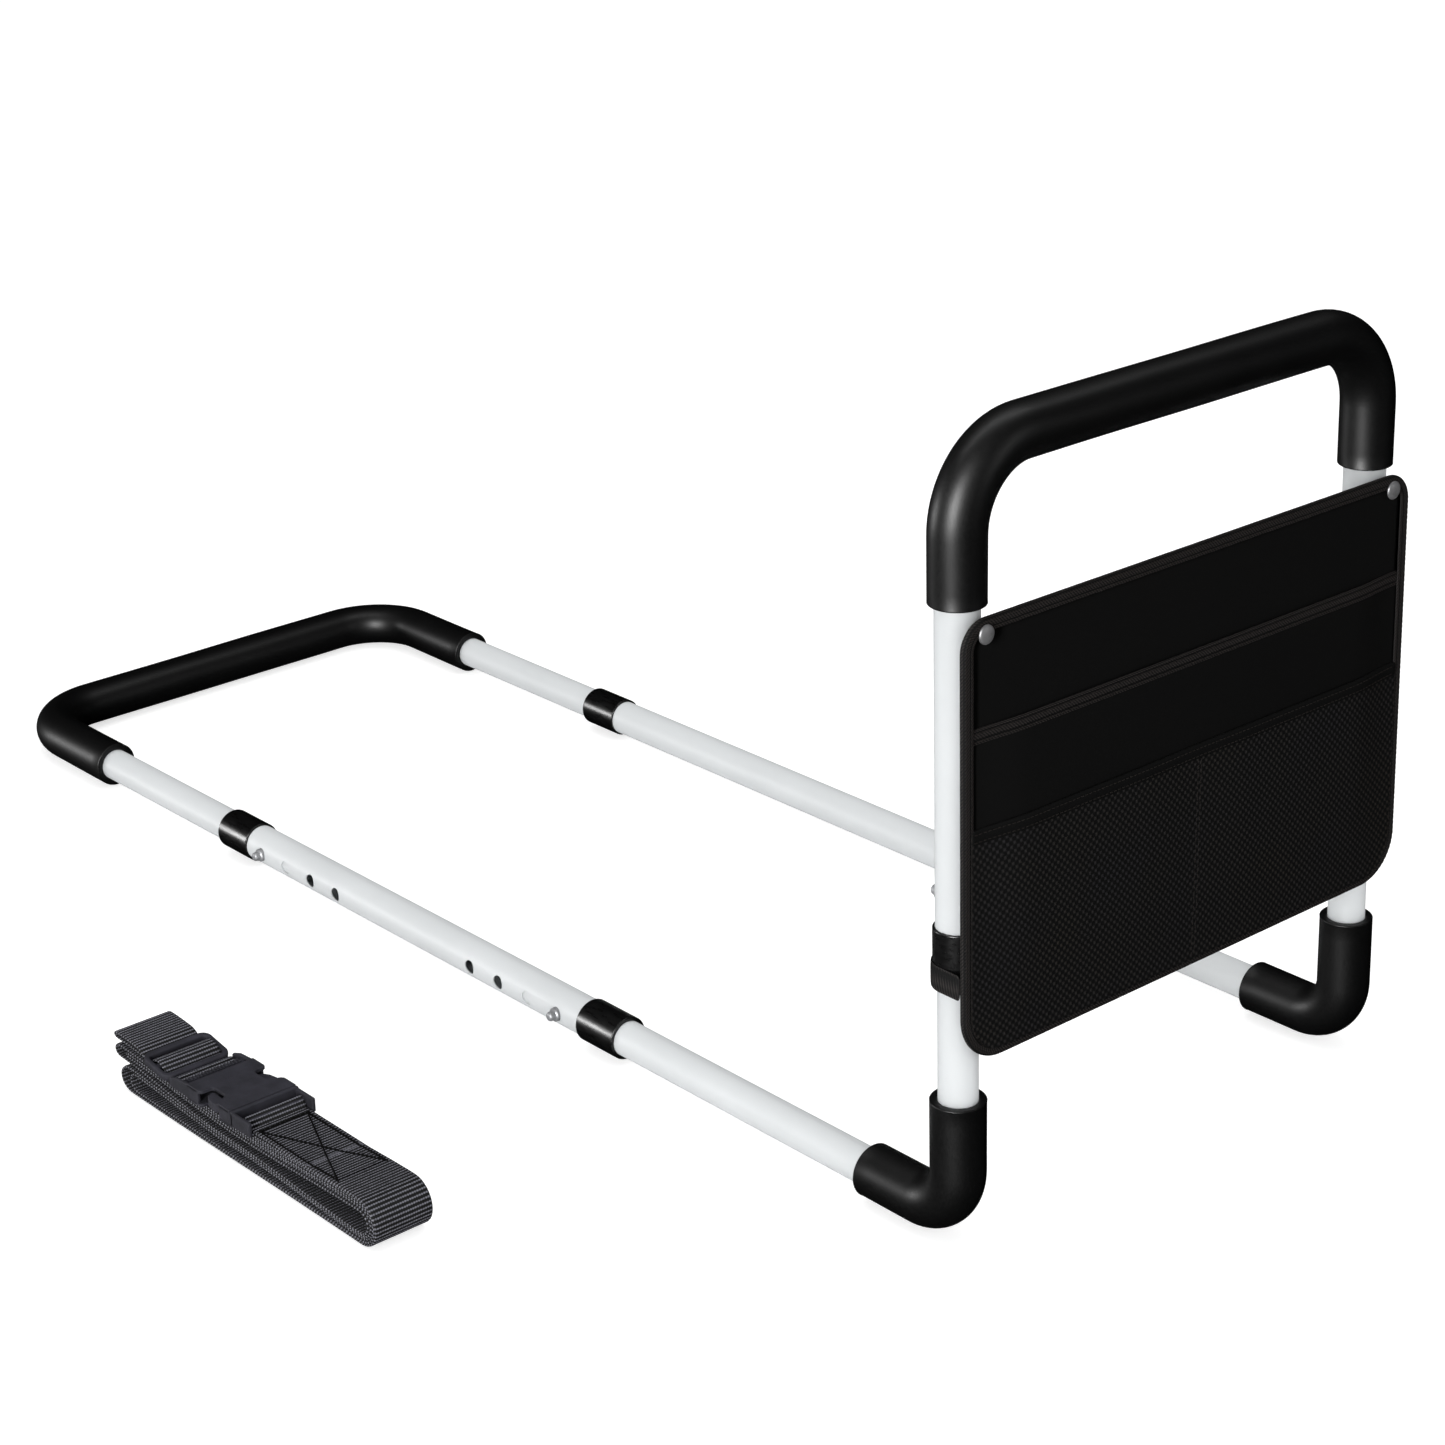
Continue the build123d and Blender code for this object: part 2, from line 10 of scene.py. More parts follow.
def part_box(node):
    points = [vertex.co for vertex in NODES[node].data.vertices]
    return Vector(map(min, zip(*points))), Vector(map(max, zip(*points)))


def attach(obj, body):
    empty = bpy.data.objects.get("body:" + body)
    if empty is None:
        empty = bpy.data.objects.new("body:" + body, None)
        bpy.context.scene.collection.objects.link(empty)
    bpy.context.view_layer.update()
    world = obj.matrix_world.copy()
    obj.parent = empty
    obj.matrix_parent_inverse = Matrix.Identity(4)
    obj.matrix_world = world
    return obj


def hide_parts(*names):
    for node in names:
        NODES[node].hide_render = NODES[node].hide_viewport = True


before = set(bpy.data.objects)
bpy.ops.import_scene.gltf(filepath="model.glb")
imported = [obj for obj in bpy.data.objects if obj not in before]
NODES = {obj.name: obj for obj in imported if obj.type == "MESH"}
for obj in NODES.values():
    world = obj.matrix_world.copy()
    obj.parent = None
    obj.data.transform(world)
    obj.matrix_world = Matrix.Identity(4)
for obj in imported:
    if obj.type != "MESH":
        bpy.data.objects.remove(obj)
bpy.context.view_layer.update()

MM = 0.001
SIDES = {"left": -1, "right": 1}

# Places and sizes taken from the frame
GRIP_LOW, GRIP_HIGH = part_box("handle_grip")
FOAM_RADIUS = (GRIP_HIGH.x - GRIP_LOW.x) / 2
SIDE_Y = GRIP_HIGH.y - FOAM_RADIUS
TOP_Z = GRIP_HIGH.z - FOAM_RADIUS
TUBE_RADIUS = (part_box("base_tube_left")[1].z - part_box("base_tube_left")[0].z) / 2
INNER_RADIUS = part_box("leg_left")[1].x
RAIL_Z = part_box("leg_left")[0].z + INNER_RADIUS
SLEEVE_LOW, SLEEVE_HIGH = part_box("leg_sleeve_left")
END_LOW, END_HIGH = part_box("end_frame_grip")
END_X = END_LOW.x + FOAM_RADIUS
POCKET_LOW, POCKET_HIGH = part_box("pocket_binding")
FRONT_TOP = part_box("pocket_front_hem")[1].z
MESH_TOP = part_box("pocket_mesh_hem")[1].z
RIVET_LOW, RIVET_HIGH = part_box("pocket_rivets")
RIVET_Z = (RIVET_LOW.z + RIVET_HIGH.z) / 2
LOOP_LOW, LOOP_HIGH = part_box("pocket_loop_left")
WEB_LOW, WEB_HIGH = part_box("strap_webbing")
FEMALE_LOW, FEMALE_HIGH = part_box("buckle_female")
SLIDE_LOW, SLIDE_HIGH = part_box("strap_slide")

# Foam: bend radii of the centre lines, the rounded cut edge and the depth of its dents
HANDLE_BEND = 48 * MM
LEG_BEND = 30 * MM
END_BEND = 50 * MM
FOAM_EDGE = 1.0 * MM
FOAM_DENT = 0.16 * MM

# Pocket: outline corners, thicknesses and weaves of its cloth, and where its panels are sewn
LOW_CORNER = 30 * MM
TOP_CORNER = 18 * MM
CLOTH = 0.9 * MM
NET = 1.3 * MM
CLOTH_THREAD = 0.9 * MM
TAPE_RIB = 2.1 * MM
NET_CELL = (4.8 * MM, 5.0 * MM)
NET_LEAN = 0.12
PANEL_HALF = POCKET_HIGH.y - 8 * MM
PANEL_LOW = POCKET_LOW.z + 8 * MM
FRONT_X = POCKET_LOW.x + 1.6 * MM
MESH_X = FRONT_X + 1.3 * MM
SEAM_HALF = 2.5 * MM
SEAM_START = 12.05 * MM
SEAM_PITCH = 4.5 * MM
BINDING_SHIFT = 0.75 * MM
PATCH_HALF = (6.0 * MM, 8.0 * MM)
PATCH_DROP = 7.0 * MM

# Strap: the webbing, its folds, and its path through the slide and the buckle
WEB_WIDTH = WEB_HIGH.y - WEB_LOW.y
WEB_THICK = 1.5 * MM
WEB_PITCH = 1.75 * MM
WEB_RIB = 2.7 * MM
STRAP_THREAD = 0.62 * MM
STRAP_Y = (WEB_LOW.y + WEB_HIGH.y) / 2
STRAP_LEFT_X = WEB_LOW.x
FOLD_X = WEB_HIGH.x - 15.5 * MM
STRAP_MIDDLE_X = -0.365
SEWN_END_X = -0.254
SEAT_Z = FEMALE_LOW.z - 0.2 * MM
SEAT_SLOPE = (WEB_HIGH.z - SEAT_Z) / (FEMALE_LOW.x - WEB_LOW.x)
SLIDE_MIDDLE_X = (SLIDE_LOW.x + SLIDE_HIGH.x) / 2
SLIDE_LEFT_X = SLIDE_LOW.x - 8 * MM
# Heights of the ten runs, in mm, top to bottom, at the left end, under the buckle and at the right fold
LAYERS = [
    (36.6, 25.2, 30.1),
    (33.2, 24.2, 28.35),
    (28.9, 22.4, 26.6),
    (26.6, 20.6, 24.85),
    (24.2, 18.8, 23.1),
    (21.6, 13.0, 7.9),
    (17.6, 11.2, 6.15),
    (15.5, 9.4, 4.4),
    (3.0, 2.8, 2.65),
    (0.9, 0.9, 0.9),
]
SEWN_END_Z = LAYERS[0][2] * MM - WEB_PITCH
# The strap turns back at the right end and the left end by turns, and takes the runs in this order
RUN_ORDER = [9, 6, 3, 4, 5, 2, 7, 8, 1, 0]
# The left folds: the two runs that each joins, where it starts, and how far it bulges, in mm
LEFT_FOLDS = {
    (0, 1): (-0.4965, 2.2),
    (2, 5): (-0.4930, 4.5),
    (3, 4): (-0.4840, 1.6),
    (6, 9): (-0.4810, 10.5),
    (7, 8): (-0.4740, 7.0),
}
# (distance from the slide's middle, height over the seat) and (distance into the buckle, height), in mm
SLIDE_PATH = [(-16, -0.9), (-12, -0.9), (-9.5, -0.3), (-5, 4.6), (-2.4, 5.6), (0, 5.8), (2.4, 5.6), (5, 4.6),
              (9.5, -0.3), (12, -0.9), (15, -0.6)]
FEMALE_PATH = [(-1.0, 3.0), (0.6, 5.6), (4.6, 5.9), (7.0, 4.6), (8.4, 2.4), (10.5, 1.4), (13.0, 1.2),
               (16.0, 1.4), (17.3, 3.2), (17.0, 5.6)]

# Buckle and slide, in millimetres from the buckle's left end. The male bar's X, Z and turn are in metres
BUCKLE_HALF = (FEMALE_HIGH.y - FEMALE_LOW.y) / 2 / MM
BUCKLE_TALL = (FEMALE_HIGH.z - FEMALE_LOW.z) / MM
FEMALE_LENGTH = (FEMALE_HIGH.x - FEMALE_LOW.x) / MM
MALE_LENGTH = (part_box("buckle_male")[1].x - FEMALE_HIGH.x) / MM
HOUSE_START = 21.0
LADDER_X = 13.0
WINDOW_START = 33.0
WINDOW_END = 53.0
WINDOW_DEPTH = 9.0
MALE_BAR = FEMALE_LENGTH + 11.0
MALE_BAR_X = FEMALE_LOW.x + MALE_BAR * MM
MALE_BAR_Z = FEMALE_LOW.z + 5.7 * MM
MALE_BAR_TURN = 3.4 * MM
SLIDE_LENGTH = 30.0

# Studio: how strongly the sky and the floor glow as light, and as the white backdrop that the camera sees
SKY_GLOW = (0.60, 1.0)
FLOOR_GLOW = (0.26, 0.68)
FLOOR_REACH = 30.0
FLOOR_DROP = 0.5 * MM
# Lights: (place, size, power, whether it adds diffuse light, whether it shows in reflections)
LIGHT_TARGET = (-0.3, 0.0, 0.2)
LIGHTS = {
    "front_panel": ((1.05, -2.67, 0.95), (0.9, 1.5), 37, True, False),
    "overhead_panel": ((-0.5, 0.1, 2.6), (2.4, 2.4), 26, True, False),
    "front_strip": ((1.05, -2.67, 0.95), (0.44, 1.5), 270, False, True),
    "overhead_strip": ((-0.5, 0.1, 2.4), (3.0, 0.16), 25, False, True),
    "left_strip": ((-2.7, -2.1, 0.36), (0.7, 0.6), 52, False, True),
    "right_strip": ((2.4, 0.9, 1.1), (0.14, 1.3), 9, True, True),
}
# Camera: azimuth, elevation and roll in degrees, its place, its lens and sensor in mm, and its upward shift
CAMERA_TURN = (49.606, 19.764, -1.579)
CAMERA_PLACE = (1.1716, -1.3299, 0.9960)
CAMERA_LENS = 82.28
CAMERA_SENSOR = 36.0
CAMERA_SHIFT = -0.1

# The material of each CAD node that stays in view, by how its name begins
NODE_MATERIALS = {
    ("leg_left", "leg_right", "base_tube", "end_frame_tube", "handle_tube"): "powder",
    ("base_collar", "handle_collar"): "collar",
    ("upright_pin", "leg_pin", "end_pin"): "pin",
    ("leg_springs", "end_springs"): "spring",
}


# ---- materials

class Nodes:
    """A Principled material, with short calls for adding nodes to it and linking them."""

    def __init__(self, name, color, roughness, specular=0.5, source="Object", **sockets):
        self.material = bpy.data.materials.new(name)
        self.material.use_nodes = True
        self.material.diffuse_color = (*color, 1)
        self.tree = self.material.node_tree
        self.shader = self.tree.nodes["Principled BSDF"]
        shine = {"Roughness": roughness, "Specular_IOR_Level": specular}
        self.put(self.shader, Base_Color=(*color, 1), **shine, **sockets)
        self.place = self.add("ShaderNodeTexCoord").outputs[source]

    def join(self, socket, value):
        """Links an input to a node's output, or sets its value."""
        if isinstance(value, bpy.types.NodeSocket):
            self.tree.links.new(value, socket)
        else:
            socket.default_value = value

    def put(self, node, **inputs):
        """Fills inputs by name, with underscores for spaces."""
        for name, value in inputs.items():
            self.join(node.inputs[name.replace("_", " ")], value)

    def add(self, kind, **inputs):
        node = self.tree.nodes.new(kind)
        self.put(node, **inputs)
        return node

    def split(self):
        return self.add("ShaderNodeSeparateXYZ", Vector=self.place).outputs

    def noise(self, scale, detail=2.0, roughness=0.5):
        """Noise of one scale, or of a scale for each axis."""
        place = self.place
        if isinstance(scale, tuple):
            place = self.add("ShaderNodeMapping", Vector=place, Scale=scale).outputs[0]
            scale = 1.0
        node = self.add("ShaderNodeTexNoise", Vector=place, Scale=scale, Detail=detail, Roughness=roughness)
        return node.outputs[0]

    def math(self, operation, a, b=0.0):
        node = self.tree.nodes.new("ShaderNodeMath")
        node.operation = operation
        self.join(node.inputs[0], a)
        self.join(node.inputs[1], b)
        return node.outputs[0]

    def plus(self, a, b):
        return self.math("ADD", a, b)

    def times(self, a, b):
        return self.math("MULTIPLY", a, b)

    def wave(self, operation, value, pitch):
        return self.math(operation, self.times(value, 2 * math.pi / pitch))

    def ramp(self, value, low, high, to_low=0.0, to_high=1.0):
        limits = {"From_Min": low, "From_Max": high, "To_Min": to_low, "To_Max": to_high}
        return self.add("ShaderNodeMapRange", Value=value, **limits).outputs[0]

    def mix(self, factor, first, second):
        node = self.tree.nodes.new("ShaderNodeMix")
        node.data_type = "RGBA"
        for socket, value in ((0, factor), (6, first), (7, second)):
            self.join(node.inputs[socket], (*value, 1) if isinstance(value, tuple) else value)
        return node.outputs[2]

    def bump(self, height, strength, distance, **under):
        node = self.add("ShaderNodeBump", Height=height, Strength=strength, Distance=distance, **under)
        return node.outputs[0]

    def finish(self, color, normal, roughness=None):
        self.put(self.shader, Base_Color=color, Normal=normal)
        if roughness:
            self.put(self.shader, Roughness=roughness)
        return self.material


def backdrop_glow(tree, socket, glow):
    """Sets a strength: its first value lights the object, and the camera sees the second."""
    seen = tree.nodes.new("ShaderNodeLightPath").outputs["Is Camera Ray"]
    chosen = tree.nodes.new("ShaderNodeMapRange")
    chosen.inputs["To Min"].default_value, chosen.inputs["To Max"].default_value = glow
    tree.links.new(seen, chosen.inputs["Value"])
    tree.links.new(chosen.outputs["Result"], socket)


def powder_coat():
    """White powder coat: faint orange peel, tiny tone changes, slightly greyer scuffs."""
    nodes = Nodes("powder_coat_white", (0.69, 0.71, 0.72), 0.46, 0.22)
    peel = nodes.noise(620, 3, 0.55)
    broad = nodes.noise(14, 3, 0.5)
    scuff = nodes.ramp(nodes.noise((60, 400, 400), 5, 0.65), 0.66, 0.82)
    color = nodes.mix(nodes.ramp(broad, 0.3, 0.7), (0.645, 0.665, 0.675), (0.68, 0.70, 0.71))
    color = nodes.mix(nodes.times(scuff, 0.18), color, (0.6, 0.61, 0.62))
    return nodes.finish(color, nodes.bump(peel, 0.12, 0.00012), nodes.ramp(peel, 0.3, 0.7, 0.42, 0.52))


def foam():
    """Black closed-cell foam with a smooth moulded skin: fine pores under a soft sheen."""
    nodes = Nodes("foam_black", (0.0012, 0.0012, 0.0012), 0.43, 0.25)
    pores = nodes.add("ShaderNodeTexVoronoi", Vector=nodes.place, Scale=1500).outputs["Distance"]
    grain = nodes.noise(900, 4, 0.6)
    broad = nodes.noise(22, 3, 0.55)
    color = nodes.mix(nodes.ramp(broad, 0.3, 0.7), (0.0005, 0.0005, 0.0006), (0.0013, 0.0013, 0.0014))
    skin = nodes.bump(grain, 0.20, 0.00015)
    normal = nodes.bump(pores, 0.10, 0.00012, Normal=skin)
    return nodes.finish(color, normal, nodes.ramp(grain, 0.3, 0.7, 0.38, 0.49))


def collar_plastic():
    """Glossy black moulded plastic with faint handling marks."""
    nodes = Nodes("collar_black", (0.0025, 0.0025, 0.0026), 0.28, 0.45)
    marks = nodes.noise((90, 500, 500), 4, 0.6)
    color = nodes.mix(nodes.ramp(marks, 0.4, 0.8), (0.0018, 0.0018, 0.0019), (0.0036, 0.0036, 0.0037))
    normal = nodes.bump(nodes.noise(240, 2), 0.05, 0.0001)
    return nodes.finish(color, normal, nodes.ramp(marks, 0.35, 0.75, 0.26, 0.36))


def steel(name, color, roughness, metallic=1.0):
    """Plated steel with fine turning marks and slightly darker tarnish."""
    nodes = Nodes(name, color, roughness, Metallic=metallic)
    turning = nodes.noise((900, 5200, 900), 3, 0.6)
    tarnish = nodes.noise(160, 4, 0.6)
    dark = tuple(0.62 * channel for channel in color)
    shade = nodes.mix(nodes.ramp(tarnish, 0.45, 0.75), color, dark)
    rough = nodes.ramp(turning, 0.3, 0.7, roughness * 0.8, roughness * 1.35)
    return nodes.finish(shade, nodes.bump(turning, 0.08, 0.00008), rough)


def pocket_cloth():
    """Plain-woven cloth in the Y-Z plane, with warp and weft threads of one pitch. Its colour is lighter on
    the raised threads, a painted highlight, and darker between them, painted shade.
    """
    dark, light = (0.0004, 0.0004, 0.0003), (0.0014, 0.0013, 0.0011)
    nodes = Nodes("pocket_cloth", light, 0.80, 0.10)
    _, across, up = nodes.split()
    weave = nodes.times(nodes.wave("SINE", across, CLOTH_THREAD), nodes.wave("SINE", up, CLOTH_THREAD))
    fuzz = nodes.noise(1500, 4, 0.7)
    broad = nodes.noise(18, 4, 0.55)
    height = nodes.plus(nodes.times(weave, 0.5), fuzz)
    # Painted highlight and shade: the colour follows the weave's height; fuzz and the broad darker patches
    # are random tone
    color = nodes.mix(nodes.ramp(height, 0.1, 1.1), dark, light)
    color = nodes.mix(nodes.times(nodes.ramp(broad, 0.35, 0.75), 0.35), color, dark)
    return nodes.finish(color, nodes.bump(height, 0.25, 0.0002), nodes.ramp(fuzz, 0.3, 0.7, 0.74, 0.86))


def net_cloth():
    """Knitted mesh: tall dark holes in staggered columns, and soft brown-black threads between."""
    nodes = Nodes("pocket_net", (0.004, 0.0035, 0.003), 0.75, 0.12)
    _, across, up = nodes.split()
    lean = nodes.plus(across, nodes.times(up, NET_LEAN))
    cells = nodes.times(nodes.wave("COSINE", lean, NET_CELL[0]), nodes.wave("COSINE", up, NET_CELL[1]))
    threads = nodes.ramp(cells, -0.15, 0.85)
    fuzz = nodes.noise(1500, 4, 0.7)
    broad = nodes.noise(16, 3, 0.5)
    height = nodes.plus(nodes.times(fuzz, 0.3), threads)
    thread = nodes.mix(nodes.ramp(broad, 0.35, 0.65), (0.0155, 0.0130, 0.0100), (0.0125, 0.0115, 0.0130))
    return nodes.finish(nodes.mix(threads, (0.0004, 0.0004, 0.0004), thread), nodes.bump(height, 0.6, 0.0006))


def binding_tape():
    """Woven tape with slanting ribs and sewn grooves. Its colour is paler on the rib tops, a painted
    highlight, and darker in the seam grooves, painted shade. Its UV is in metres: u across, v along.
    """
    dark, light = (0.0008, 0.0007, 0.0006), (0.0300, 0.0250, 0.0235)
    nodes = Nodes("binding_tape", light, 0.70, 0.12, "UV")
    across, along, _ = nodes.split()
    ribs = nodes.wave("SINE", nodes.plus(along, across), TAPE_RIB)
    threads = nodes.wave("SINE", across, TAPE_RIB * 0.62)
    fuzz = nodes.noise(1800, 4, 0.7)
    seam = nodes.wave("SINE", nodes.math("SUBTRACT", across, SEAM_START), 2 * SEAM_PITCH)
    open_cloth = nodes.ramp(nodes.math("ABSOLUTE", seam), 0.08, 0.45)
    height = nodes.plus(nodes.times(ribs, 0.6), nodes.times(threads, 0.25))
    height = nodes.plus(nodes.plus(height, fuzz), nodes.times(open_cloth, 1.5))
    # Painted highlight and shade: the colour follows the tape's height, pale on the ribs and dark in the seam
    # grooves; fuzz adds random tone
    color = nodes.mix(nodes.ramp(height, 1.5, 2.9), dark, light)
    return nodes.finish(color, nodes.bump(height, 0.6, 0.0003), nodes.ramp(fuzz, 0.3, 0.7, 0.62, 0.76))


def webbing():
    """Ribbed black nylon webbing: short, glossier floats in rows across it, black between; the pale colour on
    the floats is a painted highlight. UV is in metres.
    """
    nodes = Nodes("strap_weave", (0.02, 0.02, 0.022), 0.5, 0.20, "UV")
    across, along, _ = nodes.split()
    row = nodes.wave("COSINE", along, WEB_RIB)
    column = nodes.wave("COSINE", across, WEB_RIB / 1.55)
    fuzz = nodes.noise(2200, 4, 0.7)
    patchy = nodes.noise((420, 1100, 1), 3, 0.6)
    floats = nodes.ramp(nodes.plus(row, nodes.times(column, 0.35)), 0.15, 1.0)
    # Painted highlight: patchy pale grey glints on the floats, put into the colour of the black webbing
    painted_glint = nodes.times(floats, nodes.ramp(patchy, 0.20, 0.50))
    color = nodes.mix(painted_glint, (0.0004, 0.0004, 0.0006), (0.190, 0.190, 0.222))
    height = nodes.plus(floats, nodes.times(fuzz, 0.6))
    return nodes.finish(color, nodes.bump(height, 0.8, 0.0004), nodes.ramp(floats, 0.0, 0.7, 0.85, 0.36))


def buckle_plastic():
    """Satin black acetal with a fine moulded texture and rubbed, slightly paler patches."""
    nodes = Nodes("buckle_plastic", (0.025, 0.025, 0.034), 0.75, 0.14)
    spark = nodes.noise(2200, 2, 0.5)
    broad = nodes.noise(60, 3, 0.55)
    color = nodes.mix(nodes.ramp(broad, 0.35, 0.7), (0.0180, 0.0178, 0.0245), (0.0320, 0.0312, 0.0430))
    return nodes.finish(color, nodes.bump(spark, 0.16, 0.0001), nodes.ramp(spark, 0.3, 0.7, 0.68, 0.82))


def sewing_thread(name, dark, light):
    """Dark twisted thread."""
    nodes = Nodes(name, light, 0.8, 0.04)
    twist = nodes.noise(3000, 2, 0.5)
    return nodes.finish(nodes.mix(nodes.ramp(twist, 0.3, 0.7), dark, light), nodes.bump(twist, 0.2, 0.0001))


def floor_paint():
    """Plain pale floor, which looks as white to the camera as the backdrop does."""
    nodes = Nodes("floor_white", (0.62, 0.62, 0.62), 0.75, Emission_Color=(1, 1, 1, 1))
    backdrop_glow(nodes.tree, nodes.shader.inputs["Emission Strength"], FLOOR_GLOW)
    color = nodes.mix(nodes.noise(40, 3, 0.5), (0.615, 0.615, 0.615), (0.625, 0.625, 0.625))
    nodes.put(nodes.shader, Base_Color=color)
    return nodes.material


MATERIALS = {
    "powder": powder_coat(),
    "foam": foam(),
    "collar": collar_plastic(),
    "pin": steel("pin_steel", (0.30, 0.305, 0.315), 0.50, 0.5),
    "spring": steel("spring_steel", (0.36, 0.36, 0.38), 0.34),
    "rivet": steel("rivet_nickel", (0.20, 0.20, 0.205), 0.42, 0.55),
    "cloth": pocket_cloth(),
    "net": net_cloth(),
    "binding": binding_tape(),
    "webbing": webbing(),
    "buckle": buckle_plastic(),
    "thread": sewing_thread("sewing_thread", (0.009, 0.0078, 0.0070), (0.026, 0.022, 0.020)),
    "strap_thread": sewing_thread("strap_thread", (0.0008, 0.0008, 0.0009), (0.0030, 0.0030, 0.0034)),
    "floor": floor_paint(),
}


# ---- mesh helpers

def piece(name, mesh, material, body, replaced=(), smooth=True):
    """Links a mesh as a piece that rides on a body and may stand for CAD nodes."""
    obj = bpy.data.objects.new(name, mesh)
    bpy.context.scene.collection.objects.link(obj)
    mesh.materials.append(MATERIALS[material])
    mesh.polygons.foreach_set("use_smooth", [smooth] * len(mesh.polygons))
    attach(obj, body)
    if replaced:
        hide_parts(*replaced)
    return obj


def mesh_of(name, points, faces):
    mesh = bpy.data.meshes.new(name)
    mesh.from_pydata(points, [], faces)
    return mesh


def baked(work, name):
    """The work as a mesh of its own."""
    mesh = bpy.data.meshes.new(name)
    work.to_mesh(mesh)
    work.free()
    return mesh


def grid_mesh(name, rows, wrap_rows=False, wrap_columns=False, uv=None):
    """A mesh from an array of points, rows x columns x 3. uv gives each point's place in metres."""
    rows = np.asarray(rows, float)
    count, width = rows.shape[:2]
    quads = []
    for i in range(count if wrap_rows else count - 1):
        for j in range(width if wrap_columns else width - 1):
            quads.append([(i, j), (i + 1, j), (i + 1, j + 1), (i, j + 1)])
    faces = [[(a % count) * width + b % width for a, b in quad] for quad in quads]
    mesh = mesh_of(name, rows.reshape(-1, 3).tolist(), faces)
    if uv is not None:
        flat = [uv(a, b) for quad in quads for a, b in quad]
        mesh.uv_layers.new(name="metres").data.foreach_set("uv", np.asarray(flat, float).ravel())
    mesh.update()
    return mesh


def shut(mesh):
    """Closes the open ends of a swept solid and turns its faces outwards."""
    work = bmesh.new()
    work.from_mesh(mesh)
    edges = [edge for edge in work.edges if edge.is_boundary]
    if edges:
        bmesh.ops.holes_fill(work, edges=edges, sides=0)
    bmesh.ops.recalc_face_normals(work, faces=work.faces)
    work.to_mesh(mesh)
    work.free()
    return mesh


def heading(line, k):
    """The direction of a line at its point k."""
    return (line[min(k + 1, len(line) - 1)] - line[max(k - 1, 0)]).normalized()


def travelled(line):
    """The distance along a line at each of its points."""
    lengths = [0.0]
    for before, after in zip(line, line[1:]):
        lengths.append(lengths[-1] + (after - before).length)
    return lengths


def evenly(start, end, count):
    """Evenly spaced values from start to end."""
    return [start + (end - start) * k / count for k in range(count + 1)]


def polar(angle):
    """The point of a unit circle at an angle."""
    return Vector((math.cos(angle), math.sin(angle)))


def circle(sides):
    """Cosine and sine at even angles round a circle."""
    angles = [2 * math.pi * s / sides for s in range(sides)]
    return [(math.cos(angle), math.sin(angle)) for angle in angles]


def tape_section(line, thickness):
    """The closed section of a tape: a line of points in a plane, thickened to both sides."""
    line = [Vector(point) for point in line]
    outer, inner = [], []
    for k, point in enumerate(line):
        ahead = heading(line, k)
        normal = Vector((-ahead.y, ahead.x)) * thickness / 2
        outer.append(point + normal)
        inner.append(point - normal)
    return [tuple(point) for point in outer + inner[::-1]]


def around(section):
    """The distance round a section at each of its points, for a tape's crosswise coordinate."""
    return [length * MM for length in travelled([Vector(point) for point in section + section[:1]])]


def tape(name, node, rows, uv, closed=False, material="binding"):
    """A folded tape as a swept mesh, smoothed once."""
    mesh = shut(grid_mesh(name, rows, closed, True, uv))
    obj = piece(name, mesh, material, "handle", (node,))
    modifier = obj.modifiers.new("smooth", "SUBSURF")
    modifier.levels = modifier.render_levels = 1
    return obj


# ---- foam grips and sleeves

def arc_route(corners, bend, step=12 * MM, arc_steps=20):
    """Points along straight runs that are joined by arcs of one radius."""
    corners = [Vector(corner) for corner in corners]
    points = [corners[0]]
    for before, corner, after in zip(corners, corners[1:], corners[2:]):
        come = (corner - before).normalized()
        go = (after - corner).normalized()
        half = come.angle(go) / 2
        start = corner - come * bend * math.tan(half)
        centre = corner + (go - come).normalized() * (bend / math.cos(half))
        axis = come.cross(go).normalized()
        points += spaced(points[-1], start, step)
        for k in range(1, arc_steps + 1):
            points.append(centre + Matrix.Rotation(2 * half * k / arc_steps, 3, axis) @ (start - centre))
    return points + spaced(points[-1], corners[-1], step)


def spaced(start, end, step):
    """Points after start, up to and with end, at most step apart."""
    count = max(1, math.ceil((end - start).length / step))
    return [start.lerp(end, k / count) for k in range(1, count + 1)]


def foam_rim(bore):
    """The sleeve's end face, from the bore out over its rounded rim, as (radius, distance from the end)."""
    rim = [(bore, 0.6 * MM), (bore + 0.4 * MM, 0.1 * MM), (bore + 1.2 * MM, 0.0)]
    for turn in evenly(0, math.pi / 2, 4):
        rim.append((FOAM_RADIUS - FOAM_EDGE * (1 - math.sin(turn)), FOAM_EDGE * (1 - math.cos(turn))))
    return rim


def foam_sleeve(name, node, body, corners, bend, bore, flat_normal, seed):
    """A foam sleeve along a route in one plane, with rounded cut ends and a slightly uneven skin."""
    points = arc_route(corners, bend)
    normal = Vector(flat_normal)
    rng = random.Random(seed)
    phase_two, phase_three = rng.uniform(0, 6.28), rng.uniform(0, 6.28)
    sides = 56
    lengths = travelled(points)

    def ring(index, radius, shift=0.0):
        direction = heading(points, index)
        side = normal.cross(direction)
        centre = points[index] + direction * shift
        skin = radius > FOAM_RADIUS - 0.01 * MM
        row = []
        for s in range(sides):
            angle = 2 * math.pi * s / sides
            waves = math.sin(2 * angle + phase_two + 24 * lengths[index])
            waves += math.sin(3 * angle + phase_three - 41 * lengths[index])
            reach = radius + (FOAM_DENT * (waves - 2) / 2 if skin else 0.0)
            row.append(tuple(centre + (side * math.cos(angle) + normal * math.sin(angle)) * reach))
        return row

    last = len(points) - 1
    rows = [ring(0, radius, depth) for radius, depth in foam_rim(bore)]
    rows += [ring(k, FOAM_RADIUS) for k in range(1, last)]
    rows += [ring(last, radius, -depth) for radius, depth in reversed(foam_rim(bore))]
    rows += [ring(k, bore) for k in range(last - 1, 0, -1)]
    mesh = shut(grid_mesh(name, rows, wrap_rows=True, wrap_columns=True))
    obj = piece(name, mesh, "foam", body, (node,))


